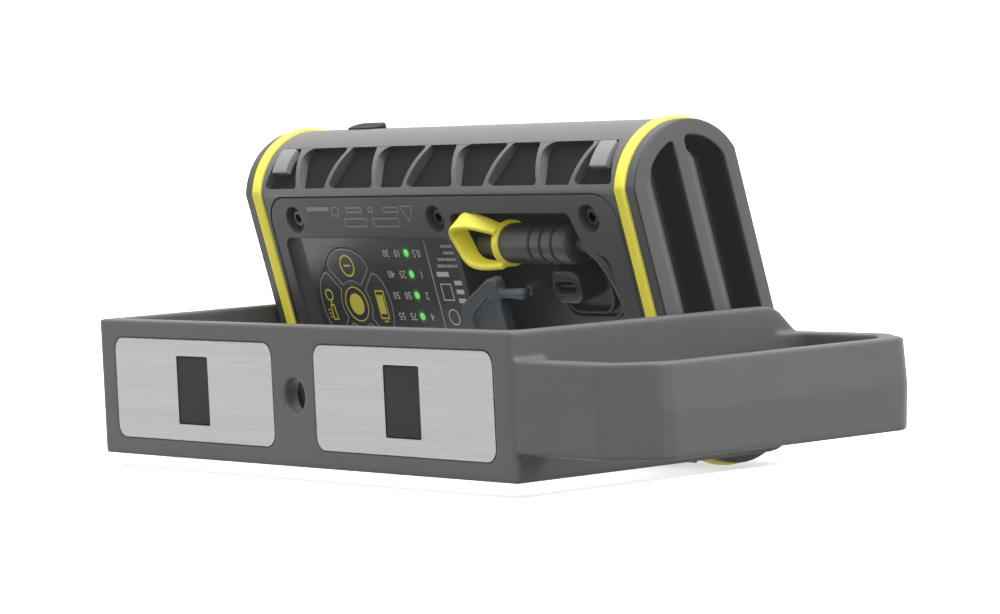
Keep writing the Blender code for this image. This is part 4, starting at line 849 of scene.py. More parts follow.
def make_scoop_block(near):
    """A long scoop in a recess; its top follows the recess near the edge of the cap, and else rounds off."""
    edge, radius = near + 0.48 * (SLOT_OUTER - SLOT_INNER), CROWN_RADIUS - 4.3 * MM
    arch = math.sqrt(radius**2 - edge**2) - 0.1 * MM
    top = CROWN_CENTRE + arch - (1.6 * MM if near > 0 else 0)
    bend = top - 5 * MM
    sections = []
    for i in range(61):
        z = SLOT_FOOT + (top - SLOT_FOOT) * math.sin(math.pi / 2 * i / 60) - 0.01 * MM
        over = max(0.0, z - CROWN_CENTRE)
        low = max(near, -math.sqrt(max(0.0, (radius + 0.05 * MM) ** 2 - over**2))) if near < 0 else near
        share = math.sqrt(max(0.02, 1 - max(0.0, (z - bend) / (5 * MM)) ** 2)) if near > 0 else 1
        high = low + (edge - low) * share
        sections.append(scoop_section(low, max(high, low + 0.3 * MM), z))
    return swept(sections, closed=False)


def make_caps():
    slots = [cap_slot(), other_side(cap_slot())]
    face = prism([head_outline(-0.75 * MM), *slots], HEAD_END - 1.4 * MM, HEAD_END, "YZ", high_round=0.5 * MM)
    # Painted shade: the slot walls and the cap floor below take the near-black material, standing in for the shade
    # deep in the slots.
    walls = [cap_slot(1.2 * MM), cap_slot(0.02 * MM)]
    lining = together([prism(loops, HEAD_END - 9.6 * MM, HEAD_END - 1.3 * MM, "YZ")
                       for loops in (walls, [other_side(loop) for loop in walls])])
    floor = prism([head_outline(-3.2 * MM)], HEAD_END - 10.9 * MM, HEAD_END - 9.5 * MM, "YZ")
    a, b = CAP_INNER, HEAD_END
    rim = ring_of([(a, -3.2 * MM), (a, -0.15 * MM), (a + 0.15 * MM, 0), (b - 0.85 * MM, 0),
                   (b - 0.72 * MM, -0.1 * MM), (b - 0.7 * MM, -0.5 * MM), (b - 0.45 * MM, -0.5 * MM),
                   (b - 0.4 * MM, -0.12 * MM), (b - 0.2 * MM, -0.15 * MM), (b - 0.04 * MM, -0.35 * MM),
                   (b - 0.04 * MM, -1.3 * MM), (b - 0.5 * MM, -3.2 * MM)])
    scoops = [make_scoop_block(near) for near in (SLOT_INNER - 0.1 * MM, -SLOT_OUTER - 0.1 * MM)]
    grey, dark = SHADES["grey_plastic"], PAINTED_SHADE_BLACK
    pieces = (("cap_face", face, grey), ("cap_rim", rim, grey), ("cap_shade_lining", lining, dark),
              ("cap_shade_floor", floor, dark), ("cap_scoop_lens", scoops[0], SCOOP_PAINTED_SHADE),
              ("cap_scoop_back", scoops[1], SCOOP_PAINTED_SHADE))
    for part, right_mesh, shade in pieces:
        for name, mesh in both_sides(right_mesh):
            stands = [f"end_cap_{name}"] if part == "cap_face" else []
            show(f"{part}_{name}", mesh, shade, "head", stands)


# ---------------------------------------------------------------- shells

TRUSS_NEAR, TRUSS_FAR = math.radians(27.0), math.radians(65.0)
TRUSS_RIBS = 8
TRUSS_LEAN, TRUSS_RIB = 2.4 * MM, 1.8 * MM
TRUSS_DEPTH, TRUSS_FLOOR = 10.0 * MM, 1.0 * MM


def band_direction():
    middle = (TRUSS_NEAR + TRUSS_FAR) / 2
    return Vector((-math.sin(middle), math.cos(middle)))


def rear_shell_outline():
    outer = crown_arc(0.0, math.asin(SHELL_SPLIT / CROWN_RADIUS), -crown_spread(0.0))
    inner_radius = CROWN_RADIUS - WALL
    chord = CROWN_RADIUS - TRUSS_DEPTH
    direction = band_direction()
    chord_start = math.acos(chord / inner_radius) - (TRUSS_NEAR + TRUSS_FAR) / 2
    end = math.asin(SHELL_SPLIT / inner_radius)
    inner = crown_arc(-WALL, min(chord_start, end - 0.02), end, 4)
    inner_y = -HALF_DEPTH + WALL
    inner_z = CROWN_CENTRE + (chord - direction.x * inner_y) / direction.y
    half_inner = [(inner_y, inner_z)] + inner
    return outer + upside_down(outer) + upside_down(half_inner) + half_inner


def truss_edges():
    ribs = []
    for i in range(TRUSS_RIBS):
        middle = (SHELL_END - 15.5 * MM) * (2 * i / (TRUSS_RIBS - 1) - 1)
        lean = TRUSS_LEAN if i % 2 else -TRUSS_LEAN
        ribs.append((middle - lean, middle + lean))
    return ribs


def truss_windows(flip):
    half, end = TRUSS_RIB / 2, SHELL_END - 1.4 * MM
    ribs = truss_edges()
    lefts = [(-end, -end + 3 * MM)] + [(low + half, high + half) for low, high in ribs]
    rights = [(low - half, high - half) for low, high in ribs] + [(end, end - 3 * MM)]
    middle = (TRUSS_NEAR + TRUSS_FAR) / 2
    width = CROWN_RADIUS * math.sin((TRUSS_FAR - TRUSS_NEAR) / 2)
    place = Matrix.Translation((0, 0, CROWN_CENTRE)) @ Matrix.Rotation(middle, 4, "X")
    prisms = []
    for (left_low, left_high), (right_low, right_high) in zip(lefts, rights):
        corners = [(left_low, -width), (right_low, -width), (right_high, width), (left_high, width)]
        soft = 3.2 * MM if left_high < left_low else 1.2 * MM
        floor = CROWN_RADIUS - TRUSS_DEPTH + TRUSS_FLOOR
        window = extruded([rounded(corners, [1.0 * MM, 1.0 * MM, 1.0 * MM, soft], 5)], floor,
                          2 * CROWN_RADIUS, "XY")

        def turn(bm):
            bmesh.ops.transform(bm, matrix=place, verts=bm.verts)
            if flip:
                bmesh.ops.scale(bm, vec=(1, 1, -1), verts=bm.verts)
                bmesh.ops.reverse_faces(bm, faces=bm.faces)

        prisms.append(edited(window, turn))
    return together(prisms)


def make_rear_shell():
    shell = extruded([rear_shell_outline()], -SHELL_END, SHELL_END, "YZ")
    rebate = rounded_rectangle(2 * (COVER_HALF + GAP), COVER_HEIGHT + 2 * GAP, COVER_CORNER + GAP)
    rebate = extruded([rebate], -HALF_DEPTH - 3 * MM, -HALF_DEPTH + 2.2 * MM, "XZ")
    shell = boolean(shell, rebate, "DIFFERENCE")
    opening = rounded_rectangle(2 * COVER_HALF - 5.2 * MM, COVER_HEIGHT - 2.4 * MM, COVER_CORNER - 1.2 * MM)
    shell = boolean(shell, extruded([opening], -HALF_DEPTH, SHELL_SPLIT - 2 * MM, "XZ"), "DIFFERENCE")
    shell = boolean(shell, truss_windows(False), "DIFFERENCE")
    shell = boolean(shell, truss_windows(True), "DIFFERENCE")
    shell = bevelled(shell, 0.2 * MM, 2, 38)
    show("rear_shell_body", shell, REAR_SHELL_PAINTED_SHADE, "head", ["rear_shell"])


def make_truss_painted_shade():
    """Sheets in painted shade behind the ribs, standing in for the shade deep in the cells, one for each band."""
    middle = (TRUSS_NEAR + TRUSS_FAR) / 2
    half = CROWN_RADIUS * math.sin((TRUSS_FAR - TRUSS_NEAR) / 2) + 0.4 * MM
    low, high = CROWN_RADIUS - TRUSS_DEPTH + TRUSS_FLOOR - 0.4 * MM, 16.4 * MM
    across, out = Vector((math.cos(middle), math.sin(middle))), band_direction()
    corners = [out * low - across * half, out * low + across * half, out * high + across * half,
               out * high - across * half]
    band = [(p.x, p.y + CROWN_CENTRE) for p in corners]
    for name, outline in (("top", band), ("bottom", upside_down(band))):
        mesh = prism([outline], -SHELL_END + 1.2 * MM, SHELL_END - 1.2 * MM, "YZ", 0.2 * MM, 0.2 * MM)
        show(f"truss_painted_shade_{name}", mesh, PAINTED_SHADE_BLACK, "head")


def make_front_shell():
    start = SHELL_SPLIT + 0.1 * MM
    outer = crown_arc(0.0, crown_spread(0.0), math.asin(start / CROWN_RADIUS))
    inner = crown_arc(-WALL, math.asin(start / (CROWN_RADIUS - WALL)), crown_spread(-WALL))
    outline = outer + inner + upside_down(inner) + upside_down(outer)
    shell = extruded([outline], -SHELL_END, SHELL_END, "YZ")
    hole = rounded_rectangle(2 * (LENS_HALF + GAP), LENS_HEIGHT + 2 * GAP, LENS_CORNER + GAP)
    shell = boolean(shell, extruded([hole], HALF_DEPTH - 7 * MM, HALF_DEPTH + 3 * MM, "XZ"), "DIFFERENCE")
    shell = bevelled(shell, 0.3 * MM, 2, 35)
    show("front_shell_body", shell, SHADES["grey_plastic"], "head", ["front_shell"])


def make_clips():
    """Hooks with a lip that turns down over the truss's end windows."""
    near, far, stem = (-math.radians(a) for a in (28.5, 52.0, 37.0))
    outer = crown_arc(0.85 * MM, near, far, 16)
    inner = crown_arc(-1.7 * MM, far, stem, 8)
    root = crown_arc(-TRUSS_DEPTH + TRUSS_FLOOR + 2 * MM, stem, near, 2)
    centre = (truss_edges()[-1][1] + SHELL_END) / 2 - 1.2 * MM
    ends = centre - 3.2 * MM, centre + 3.2 * MM
    for place, outline in (("top", outer + inner + root), ("bottom", upside_down(outer + inner + root))):
        for name, mesh in both_sides(bevelled(extruded([outline], *ends, "YZ"), 0.45 * MM, 3, 40)):
            show(f"hook_{place}_{name}", mesh, SHADES["clip_plastic"], "head",
                 [f"lens_clip_{place}_{name}"])


# ---------------------------------------------------------------- rear cover

def well_places():
    return [(x, z) for z in (WELL_RISE, -WELL_RISE) for x in (-WELL_X, 0, WELL_X)]


def pocket_outline(grow=0.0):
    left, right = POCKET_LEFT - grow, POCKET_RIGHT + grow
    half, shoulder = POCKET_HALF + grow, POCKET_RIGHT - 12.5 * MM + grow
    low = 18.5 * MM + grow
    corners = [(left, -half), (shoulder, -half), (shoulder + 3 * MM, -low), (right, -low + 4 * MM),
               (right, low - 4 * MM), (shoulder + 3 * MM, low), (shoulder, half), (left, half)]
    return rounded(corners, [2 * MM, 2 * MM, 2.4 * MM, 4 * MM, 4 * MM, 2.4 * MM, 2 * MM, 2 * MM], 6)


def keypad_opening(grow=0.0, left=0.0):
    return rounded(rectangle(KEYPAD_LEFT - grow - left, -KEYPAD_HEIGHT / 2 - grow, KEYPAD_RIGHT + grow,
                             KEYPAD_HEIGHT / 2 + grow), 3 * MM)


def make_cover():
    outline = rounded_rectangle(2 * COVER_HALF, COVER_HEIGHT, COVER_CORNER, steps=12)
    wells = [circle(x, z, WELL_DIAMETER, 40) for x, z in well_places()]
    plate = prism([outline, keypad_opening(left=2.4 * MM), pocket_outline(), *wells], -HALF_DEPTH,
                  -HALF_DEPTH + COVER_THICKNESS, "XZ", 0.35 * MM)
    show("cover_plate", plate, SHADES["dark_plastic"], "head",
         ["rear_cover"])
    make_scoop()
    for i, (x, z) in enumerate(well_places(), start=1):
        make_well(i, x, z)


def make_scoop():
    """The wide concave ramp at the keypad's left end."""
    left, right = KEYPAD_LEFT - 2.9 * MM, KEYPAD_LEFT + 3.0 * MM
    top, low = -HALF_DEPTH + 0.35 * MM, KEYPAD_FACE + 0.02 * MM
    curve = [(left + (right - left) * (1 - math.cos(t)), low + (top - low) * (1 - math.sin(t)))
             for t in (math.pi / 2 * i / 12 for i in range(13))]
    section = [(left, -HALF_DEPTH + 3 * MM)] + curve + [(right, -HALF_DEPTH + 3 * MM)]
    mesh = extruded([section], -KEYPAD_HEIGHT / 2 + 0.05 * MM, KEYPAD_HEIGHT / 2 - 0.05 * MM, "XY")
    show("keypad_scoop", mesh, SHADES["dark_plastic"], "head")


def make_well(index, x, z):
    """A screw well: a cup with a soft rim, and a screw with a six-lobed socket at its bottom."""
    face, floor, radius = -HALF_DEPTH, -HALF_DEPTH + WELL_DEPTH, WELL_DIAMETER / 2
    profile = [(face + 0.6 * MM, radius + 0.75 * MM), (face + 0.45 * MM, radius + 0.02 * MM),
               (face + 0.7 * MM, radius - 0.12 * MM), (floor - 0.4 * MM, radius - 0.2 * MM),
               (floor, radius - 0.7 * MM), (floor, 0.8 * MM), (floor + 0.75 * MM, 0.8 * MM),
               (floor + 0.75 * MM, radius + 0.75 * MM)]
    rings = [[(r * math.cos(a), y, r * math.sin(a)) for a in (2 * math.pi * i / 40 for i in range(40))]
             for y, r in profile]
    place = HEAD @ Matrix.Translation((x, 0, z))
    show(f"screw_well_{index}", swept(rings), SHADES["dark_plastic"], "head", matrix=place)
    lobes = [((0.75 + 0.28 * math.cos(6 * a)) * 1.25 * MM * math.cos(a),
              (0.75 + 0.28 * math.cos(6 * a)) * 1.25 * MM * math.sin(a))
             for a in (2 * math.pi * i / 48 for i in range(48))]
    top = floor - GAP - 1.7 * MM
    head = extruded([circle(0, 0, 4.8 * MM, 32), lobes], top, floor - GAP, "XZ")
    head = together([bevelled(head, 0.3 * MM, 2, 40),
                     extruded([circle(0, 0, 4.2 * MM, 24)], top + 0.9 * MM, floor - 1.3 * GAP, "XZ")])
    show(f"cover_screw_head_{index}", head, SHADES["black_steel"], "head",
         [f"cover_screw_{index}"], matrix=place)


# ---------------------------------------------------------------- keypad

def sector_outline(direction, grow=0.0):
    outer, inner, gap = 16.8 * MM + grow, 6.6 * MM - grow, 0.65 * MM - grow
    reach = math.radians(45)
    outer_end, inner_end = reach - math.asin(gap / outer), reach - math.asin(gap / inner)
    end_x, end_y = outer * math.cos(outer_end) * 0.86, outer * math.sin(outer_end) * 0.86
    far = [(end_x + (outer - end_x) * math.cos(t), end_y * math.sin(t))
           for t in (math.pi / 2 * k / 10 for k in range(-10, 11))]
    near = [(inner * math.cos(a), inner * math.sin(a))
            for a in (inner_end * (1 - 2 * k / 10) for k in range(11))]
    turn = Matrix.Rotation(direction, 2)
    return [tuple(turn @ Vector(point)) for point in eased(far + near, 1.1 * MM)]


def eased(outline, reach):
    """The outline with its corners eased: resampled evenly, then averaged over a short reach."""
    points = [Vector(p) for p in outline]
    lengths = [(points[(i + 1) % len(points)] - p).length for i, p in enumerate(points)]
    total, step = sum(lengths), 0.25 * MM
    count = max(24, int(total / step))
    even, i, walked = [], 0, 0.0
    for k in range(count):
        at = total * k / count
        while walked + lengths[i] < at:
            walked += lengths[i]
            i += 1
        part = (at - walked) / lengths[i]
        even.append(points[i].lerp(points[(i + 1) % len(points)], part))
    wide = max(1, int(reach / (total / count) / 2))
    return [tuple(sum((even[(k + j) % count] for j in range(-wide, wide + 1)), Vector((0, 0))) / (2 * wide + 1))
            for k in range(count)]


KEYS = {"minus": math.pi / 2, "plus": -math.pi / 2, "spot": math.pi, "flood": 0.0}
INK = 0.04 * MM
INK_BASE = 0.02 * MM


def ink(name, outlines, shade, body, slot, face=KEYPAD_FACE, x=KEYS_X, z=0.0):
    """A thin printed film on the face, from outlines (x, z); holes follow the first."""
    moved = [[(px + x, pz + z) for px, pz in outline] for outline in outlines]
    mesh = extruded(moved, face - INK, face + INK_BASE, "XZ")
    show(name, mesh, shade, body, flat=True)


def line(name, outline, width, shade, body, slot, **more):
    ink(name, [outline, offset_outline(outline, width)], shade, body, slot, **more)


def bar(x0, z0, x1, z1):
    return rectangle(min(x0, x1), min(z0, z1), max(x0, x1), max(z0, z1))


def make_keys():
    back = KEYPAD_FACE + 1.8 * MM
    centre = prism([circle(0, 0, 11.0 * MM, 64)], KEYPAD_FACE, back, "XZ", 0.12 * MM)
    place = HEAD @ Matrix.Translation((KEYS_X, 0, 0))
    film = SHADES["key_film"]
    show("centre_key_cap", centre, film, "key_centre", ["key_centre"], place)
    line("centre_key_ring", circle(0, 0, 10.5 * MM, 64), 0.34 * MM, PRINT_YELLOW, "key_centre", "key_film")
    ink("centre_key_dot", [circle(0, 0, 6.4 * MM, 48)], PRINT_YELLOW, "key_centre", "key_film")
    for name, direction in KEYS.items():
        body = f"key_{name}"
        cap = prism([sector_outline(direction)], KEYPAD_FACE, back, "XZ", 0.12 * MM)
        show(f"{name}_key_cap", cap, film, body, [body], place)
        edge = sector_outline(direction, -0.25 * MM)
        line(f"{name}_key_line", edge, 0.26 * MM, PRINT_GREY, body, "key_film")
    for name, rise in (("minus", 11.5 * MM), ("plus", -11.5 * MM)):
        body = f"key_{name}"
        line(f"{name}_icon_ring", circle(0, rise, 6.6 * MM, 48), 0.52 * MM, PRINT_YELLOW, body, "key_film")
        ink(f"{name}_icon_bar", [bar(-1.5 * MM, rise - 0.28 * MM, 1.5 * MM, rise + 0.28 * MM)],
            PRINT_YELLOW, body, "key_film")
    for name, low, high in (("low", -12.95, -11.8), ("high", -11.2, -10.05)):
        ink(f"plus_icon_stem_{name}", [bar(-0.28 * MM, low * MM, 0.28 * MM, high * MM)], PRINT_YELLOW,
            "key_plus", "key_film")
    make_flood_icon()
    make_spot_icon()


def make_flood_icon():
    """A lit panel: a yellow block between two dark ends in a yellow frame."""
    x, wide, high = 11.9 * MM, 4.0 * MM, 8.6 * MM
    outer = bar(x - wide / 2, -high / 2, x + wide / 2, high / 2)
    hole = bar(x - wide / 2 + 0.4 * MM, -high / 2 + 0.45 * MM, x + wide / 2 - 0.4 * MM, high / 2 - 0.45 * MM)
    ink("flood_icon_frame", [outer, hole], PRINT_YELLOW, "key_flood", "key_film")
    ink("flood_icon_light", [bar(x - wide / 2 + 0.55 * MM, -high / 2 + 1.5 * MM, x + wide / 2 - 0.9 * MM,
                                 high / 2 - 1.4 * MM)], PRINT_YELLOW, "key_flood", "key_film")
    ink("flood_icon_foot", [bar(x - 0.8 * MM, -high / 2 - 0.95 * MM, x + 1.2 * MM, -high / 2 - 0.5 * MM)],
        PRINT_YELLOW, "key_flood", "key_film")


def make_spot_icon():
    """A hand torch: a round lamp, a narrow neck and a handle with light marks beside it."""
    x = -12.0 * MM
    line("spot_icon_lamp", circle(x - 0.3 * MM, 2.6 * MM, 3.6 * MM, 36), 0.42 * MM, PRINT_YELLOW, "key_spot",
         "key_film")
    ink("spot_icon_neck", [bar(x - 0.5 * MM, 0.0, x + 0.1 * MM, 0.65 * MM)], PRINT_YELLOW, "key_spot",
        "key_film")
    handle = [(x - 0.9 * MM, -0.2 * MM), (x + 0.8 * MM, -0.2 * MM), (x + 1.45 * MM, -4.9 * MM),
              (x - 1.1 * MM, -4.9 * MM)]
    line("spot_icon_handle", handle, 0.4 * MM, PRINT_YELLOW, "key_spot", "key_film")
    for i in range(3):
        low = (-2.1 - 1.05 * i) * MM
        ink(f"spot_icon_ray_{i + 1}", [bar(x - (2.6 - 0.12 * i) * MM, low, x - 1.6 * MM, low + 0.36 * MM)],
            PRINT_YELLOW, "key_spot", "key_film")


def number(name, text, x, z):
    """A printed number that reads with the head turned over."""
    curve = bpy.data.curves.new(name, "FONT")
    curve.body = text
    curve.size = 3.1 * MM
    curve.extrude = INK / 2
    curve.align_x, curve.align_y = "CENTER", "CENTER"
    curve.resolution_u = 3
    mesh = from_object(guide(curve))
    turn = (Matrix.Translation((x, KEYPAD_FACE - INK / 2, z)) @ Matrix.Rotation(math.pi, 4, "Y")
            @ Matrix.Rotation(math.pi / 2, 4, "X"))
    mesh.transform(turn)
    show(name, mesh, PRINT_WHITE, "head", flat=True)


def make_keypad():
    holes = [circle(KEYS_X, 0, 9.7 * MM, 64)]
    for direction in KEYS.values():
        holes.append([(px + KEYS_X, pz) for px, pz in sector_outline(direction, 0.15 * MM)])
    lamps = [(LAMPS_X, LAMP_TOP - i * LAMP_PITCH) for i in range(5)]
    holes += [circle(x, z, 2.3 * MM, 24) for x, z in lamps]
    panel = prism([keypad_opening(0.5 * MM), *holes], KEYPAD_FACE, KEYPAD_FACE + 1.5 * MM, "XZ", 0.1 * MM)
    show("keypad_film", panel, SHADES["key_film"], "head",
         ["keypad_panel"])
    make_keys()
    labels = (("30", "10", "0.5"), ("40", "25", "1"), ("50", "50", "2"), ("55", "75", "4"),
              ("60", "100", "8"))
    for i, ((x, z), row) in enumerate(zip(lamps, labels), start=1):
        make_lamp(i, x, z)
        for column, (text, shift) in enumerate(zip(row, (-9.4 * MM, -4.1 * MM, 4.6 * MM)), start=1):
            number(f"scale_number_{i}_{column}", text, x + shift, z)
    rule = bar(-10.85 * MM, -19.3 * MM, -10.6 * MM, 19.3 * MM)
    ink("keypad_rule", [rule], PRINT_WHITE, "head", "key_film", x=0)
    make_plain_marks()


def make_lamp(index, x, z):
    """A light pipe with a low domed end, and the soft glow it throws on the film round it."""
    radius = 1.1 * MM
    front = KEYPAD_FACE - 0.1 * MM
    profile = [(front, 0.3 * radius), (front + 0.03 * MM, 0.7 * radius), (front + 0.12 * MM, radius),
               (KEYPAD_FACE + 2 * MM, radius), (KEYPAD_FACE + 2 * MM, 0.2 * radius)]
    place = HEAD @ Matrix.Translation((x, 0, z))
    show(f"lamp_dome_{index}", lathe(profile, "Y", 24), SHADES["lamp_green"], "head",
         [f"charge_lamp_{index}"], place)
    glow = prism([circle(0, 0, 5.0 * MM, 40), circle(0, 0, 2.2 * MM, 24)], KEYPAD_FACE - 0.015 * MM,
                 KEYPAD_FACE + INK_BASE, "XZ")
    show(f"lamp_glow_{index}", glow, LAMP_GLOW, "head", matrix=place)


def make_plain_marks():
    """Plain bars and shapes in place of the printed small text and signs."""
    lines = ((-3.7, 3.6, 17.0), (-3.2, 3.7, 15.1), (-6.4, 3.6, 13.2), (-7.2, 3.7, 11.3))
    for i, (left, right, z) in enumerate(lines, start=1):
        for j in range(3):
            start = left + (right - left) * (j + (0.1 if j else 0)) / 3
            end = left + (right - left) * (j + 1) / 3
            block = bar(start * MM, z * MM, end * MM, (z + 0.85) * MM)
            ink(f"text_bar_{i}_{j + 1}", [block], PRINT_GREY, "head", "key_film", x=0)
    ink("solid_mark", [bar(-8.5 * MM, 8.6 * MM, -3.2 * MM, 10.0 * MM)], PRINT_WHITE, "head", "key_film", x=0)
    line("square_mark", bar(-8.2 * MM, 1.6 * MM, -3.4 * MM, 6.6 * MM), 0.34 * MM, PRINT_WHITE, "head",
         "key_film", x=0)
    ring = circle(-5.6 * MM, -3.2 * MM, 4.8 * MM, 32)
    line("round_mark", ring, 0.34 * MM, PRINT_WHITE, "head", "key_film", x=0)
    for i in range(3):
        ink(f"short_bar_{i + 1}", [bar(-1.6 * MM, (6.2 - 2.6 * i) * MM, 3.6 * MM, (7.5 - 2.6 * i) * MM)],
            PRINT_WHITE, "head", "key_film", x=0)
    rhomb = [(0.2, -3.4), (2.2, -6.0), (0.2, -8.6), (-1.8, -6.0)]
    line("rhomb_mark", [(x * MM, z * MM) for x, z in rhomb], 0.34 * MM, PRINT_WHITE, "head", "key_film", x=0)
    words = ((-39.7, -32.3, 27.9, 29.6), (-29.4, -27.0, 27.9, 29.6), (-22.7, -15.4, 27.9, 29.6),
             (-41.6, -31.2, 23.7, 26.4), (-28.4, -16.2, 23.7, 26.4), (-46.6, -43.2, 26.9, 29.7))
    for i, (left, right, low, high) in enumerate(words, start=1):
        outer = rounded(bar(left * MM, low * MM, right * MM, high * MM), 0.4 * MM, 3)
        line(f"cover_mark_{i}", outer, 0.38 * MM, PRINT_DIM, "head", "dark_plastic", face=-HALF_DEPTH, x=0)
    ink("cover_strip", [bar(-58.4 * MM, 28.5 * MM, -47.9 * MM, 29.7 * MM)], PRINT_DIM, "head", "dark_plastic",
        face=-HALF_DEPTH, x=0)
    triangle = [(-14.6 * MM, 29.9 * MM), (-8.6 * MM, 29.9 * MM), (-11.6 * MM, 24.9 * MM)]
    line("cover_triangle", triangle, 0.36 * MM, PRINT_DIM, "head", "dark_plastic", face=-HALF_DEPTH, x=0)


# ---------------------------------------------------------------- lead pocket

def make_pocket():
    low, floor = -HALF_DEPTH + COVER_THICKNESS + 0.1 * MM, POCKET_FLOOR
    walls = extruded([pocket_outline(1.4 * MM), pocket_outline()], low, floor + 1.0 * MM, "XZ")
    show("pocket_walls", walls, SHADES["black_plastic"], "head", ["lead_pocket"])
    base = extruded([pocket_outline(0.5 * MM)], floor, floor + 1.4 * MM, "XZ")
    show("pocket_floor", base, SHADES["black_plastic"], "head")
    for i, (width, height) in enumerate(((24.5, 21.0), (21.0, 17.5))):
        ridge = rounded_rectangle(width * MM, height * MM, 5.5 * MM, (PORT_X, PORT_RISE - 1 * MM))
        inner = offset_outline(ridge, 0.9 * MM)
        mesh = prism([ridge, inner], floor - (1.2 + i) * MM, floor + 0.3 * MM, "XZ", 0.3 * MM)
        show(f"pocket_ridge_{i + 1}", mesh, SHADES["black_plastic"], "head")
    profile = [(ANCHOR_Y + 2.15 * MM, 0.4 * MM), (ANCHOR_Y + 2.2 * MM, 1.3 * MM),
               (ANCHOR_Y + 2.7 * MM, 1.7 * MM), (floor + 0.3 * MM, 1.8 * MM), (floor + 0.3 * MM, 0.4 * MM)]
    show("flap_post", lathe(profile, "Y", 24), SHADES["black_plastic"], "head",
         matrix=HEAD @ Matrix.Translation((ANCHOR_X, 0, ANCHOR_Z)))


def make_port():
    face, back = POCKET_FLOOR - 9.0 * MM, POCKET_FLOOR - 0.2 * MM
    centre = (PORT_X, PORT_RISE)
    body = rounded_rectangle(11.6 * MM, 9.6 * MM, 3.2 * MM, centre)
    mouth = rounded_rectangle(8.6 * MM, 3.2 * MM, 1.55 * MM, centre)
    mesh = prism([body, mouth], face, back, "XZ", 0.9 * MM, steps=4)
    show("port_block", mesh, SHADES["black_plastic"], "head", ["charge_port"])
    lip = rounded_rectangle(10.0 * MM, 4.8 * MM, 2.2 * MM, centre)
    inner = rounded_rectangle(8.7 * MM, 3.4 * MM, 1.6 * MM, centre)
    mesh = prism([lip, inner], face - 0.3 * MM, face + 0.9 * MM, "XZ", 0.2 * MM)
    show("port_lip", mesh, SHADES["dark_plastic"], "head")
    tongue = rounded_rectangle(6.6 * MM, 0.7 * MM, 0.2 * MM, centre, 2)
    show("port_tongue", prism([tongue], face + 1.2 * MM, back - MM, "XZ", 0.1 * MM), SHADES["black_plastic"],
         "head")


def make_plug():
    """The plug's barrel: a stepped nose, a smooth grip and three round ribs towards its tail."""
    r = PLUG_DIAMETER / 2
    profile = [(0, 0.5 * MM), (0.1 * MM, r * 0.56), (0.5 * MM, r * 0.62), (6 * MM, r * 0.62),
               (6.3 * MM, r * 0.78), (9.3 * MM, r * 0.8), (9.8 * MM, r - 0.5 * MM), (12 * MM, r - 0.15 * MM),
               (PLUG_LENGTH * 0.55, r)]
    for i in range(3):
        at = (24.4 + 4.7 * i) * MM
        profile += [(at - 0.35 * MM, r), (at - 0.1 * MM, r - 0.22 * MM), (at + 0.1 * MM, r - 0.85 * MM),
                    (at + 0.55 * MM, r - 0.85 * MM), (at + 0.75 * MM, r - 0.22 * MM), (at + 1.0 * MM, r)]
    profile += [(PLUG_LENGTH - 1.8 * MM, r), (PLUG_LENGTH - 0.7 * MM, r * 0.93),
                (PLUG_LENGTH - 0.15 * MM, r * 0.76), (PLUG_LENGTH, r * 0.6), (PLUG_LENGTH, 0.5 * MM)]
    show("plug_barrel", lathe(profile, "X", 56), SHADES["black_plastic"], "head",
         ["lead_plug"], HEAD @ Matrix.Translation((PLUG_LEFT, PLUG_Y, PLUG_RISE)))


LEAD_ROUTE = [(0.4, -0.2, 0.0), (4.6, -0.5, -1.2), (8.2, -0.3, -4.4), (10.6, 0.1, -9.0), (11.8, 0.8, -15.0),
              (10.8, 2.4, -22.0), (7.2, 4.2, -28.4), (1.2, 5.0, -32.4), (-6.0, 5.2, -34.0)]


def lead_points(samples=8):
    """Points along a smooth curve through the CAD's route, which starts at the plug's tail."""
    route = [Vector(p) * MM for p in LEAD_ROUTE]
    route = [route[0] * 2 - route[1], *route, route[-1] * 2 - route[-2]]
    tail = Vector((PLUG_LEFT + PLUG_LENGTH, PLUG_Y, PLUG_RISE))
    points = []
    for p0, p1, p2, p3 in zip(route, route[1:], route[2:], route[3:]):
        for k in range(samples):
            t = k / samples
            points.append(tail + 0.5 * (2 * p1 + (p2 - p0) * t + (2 * p0 - 5 * p1 + 4 * p2 - p3) * t**2
                                        + (3 * p1 - p0 - 3 * p2 + p3) * t**3))
    return points + [tail + route[-2]]


def make_lead():
    tube("charge_lead_cable", lead_points(), 3.6 * MM, SHADES["black_plastic"], "head",
         ["charge_lead"])
    relief = [(0, 0.3 * MM), (0, 2.9 * MM), (0.5 * MM, 3.1 * MM)]
    for i in range(3):
        at = (1.6 + 1.7 * i) * MM
        wide = (3.0 - 0.35 * i) * MM
        relief += [(at, wide), (at + 0.15 * MM, wide - 0.5 * MM), (at + 0.65 * MM, wide - 0.5 * MM),
                   (at + 0.8 * MM, wide - 0.05 * MM)]
    relief += [(7.2 * MM, 2.1 * MM), (7.7 * MM, 1.9 * MM), (7.7 * MM, 0.3 * MM)]
    end = lead_points()[-1]
    place = HEAD @ Matrix.Translation(end + Vector((-8.1 * MM, 0, 0)))
    show("lead_relief", lathe(relief, "X", 32), SHADES["black_plastic"], "head",
         ["lead_gland"], place)


# ---------------------------------------------------------------- yellow loop and blue-grey flap

def strip(centres, widths, thickness, acrosses):
    """A closed band: at each centre a rounded box, wide along its across vector."""
    rings = []
    count = len(centres)
    for i, (centre, width) in enumerate(zip(centres, widths)):
        along = (centres[min(i + 1, count - 1)] - centres[max(i - 1, 0)]).normalized()
        side = Vector(acrosses[i])
        side = (side - side.dot(along) * along).normalized()
        normal = along.cross(side)
        half_w, half_t = width / 2, thickness / 2
        soft = half_t * 0.75
        corners = rounded(rectangle(-half_w, -half_t, half_w, half_t), soft, 4)
        rings.append([centre + side * u + normal * v for u, v in corners])
    return swept(rings, closed=False)


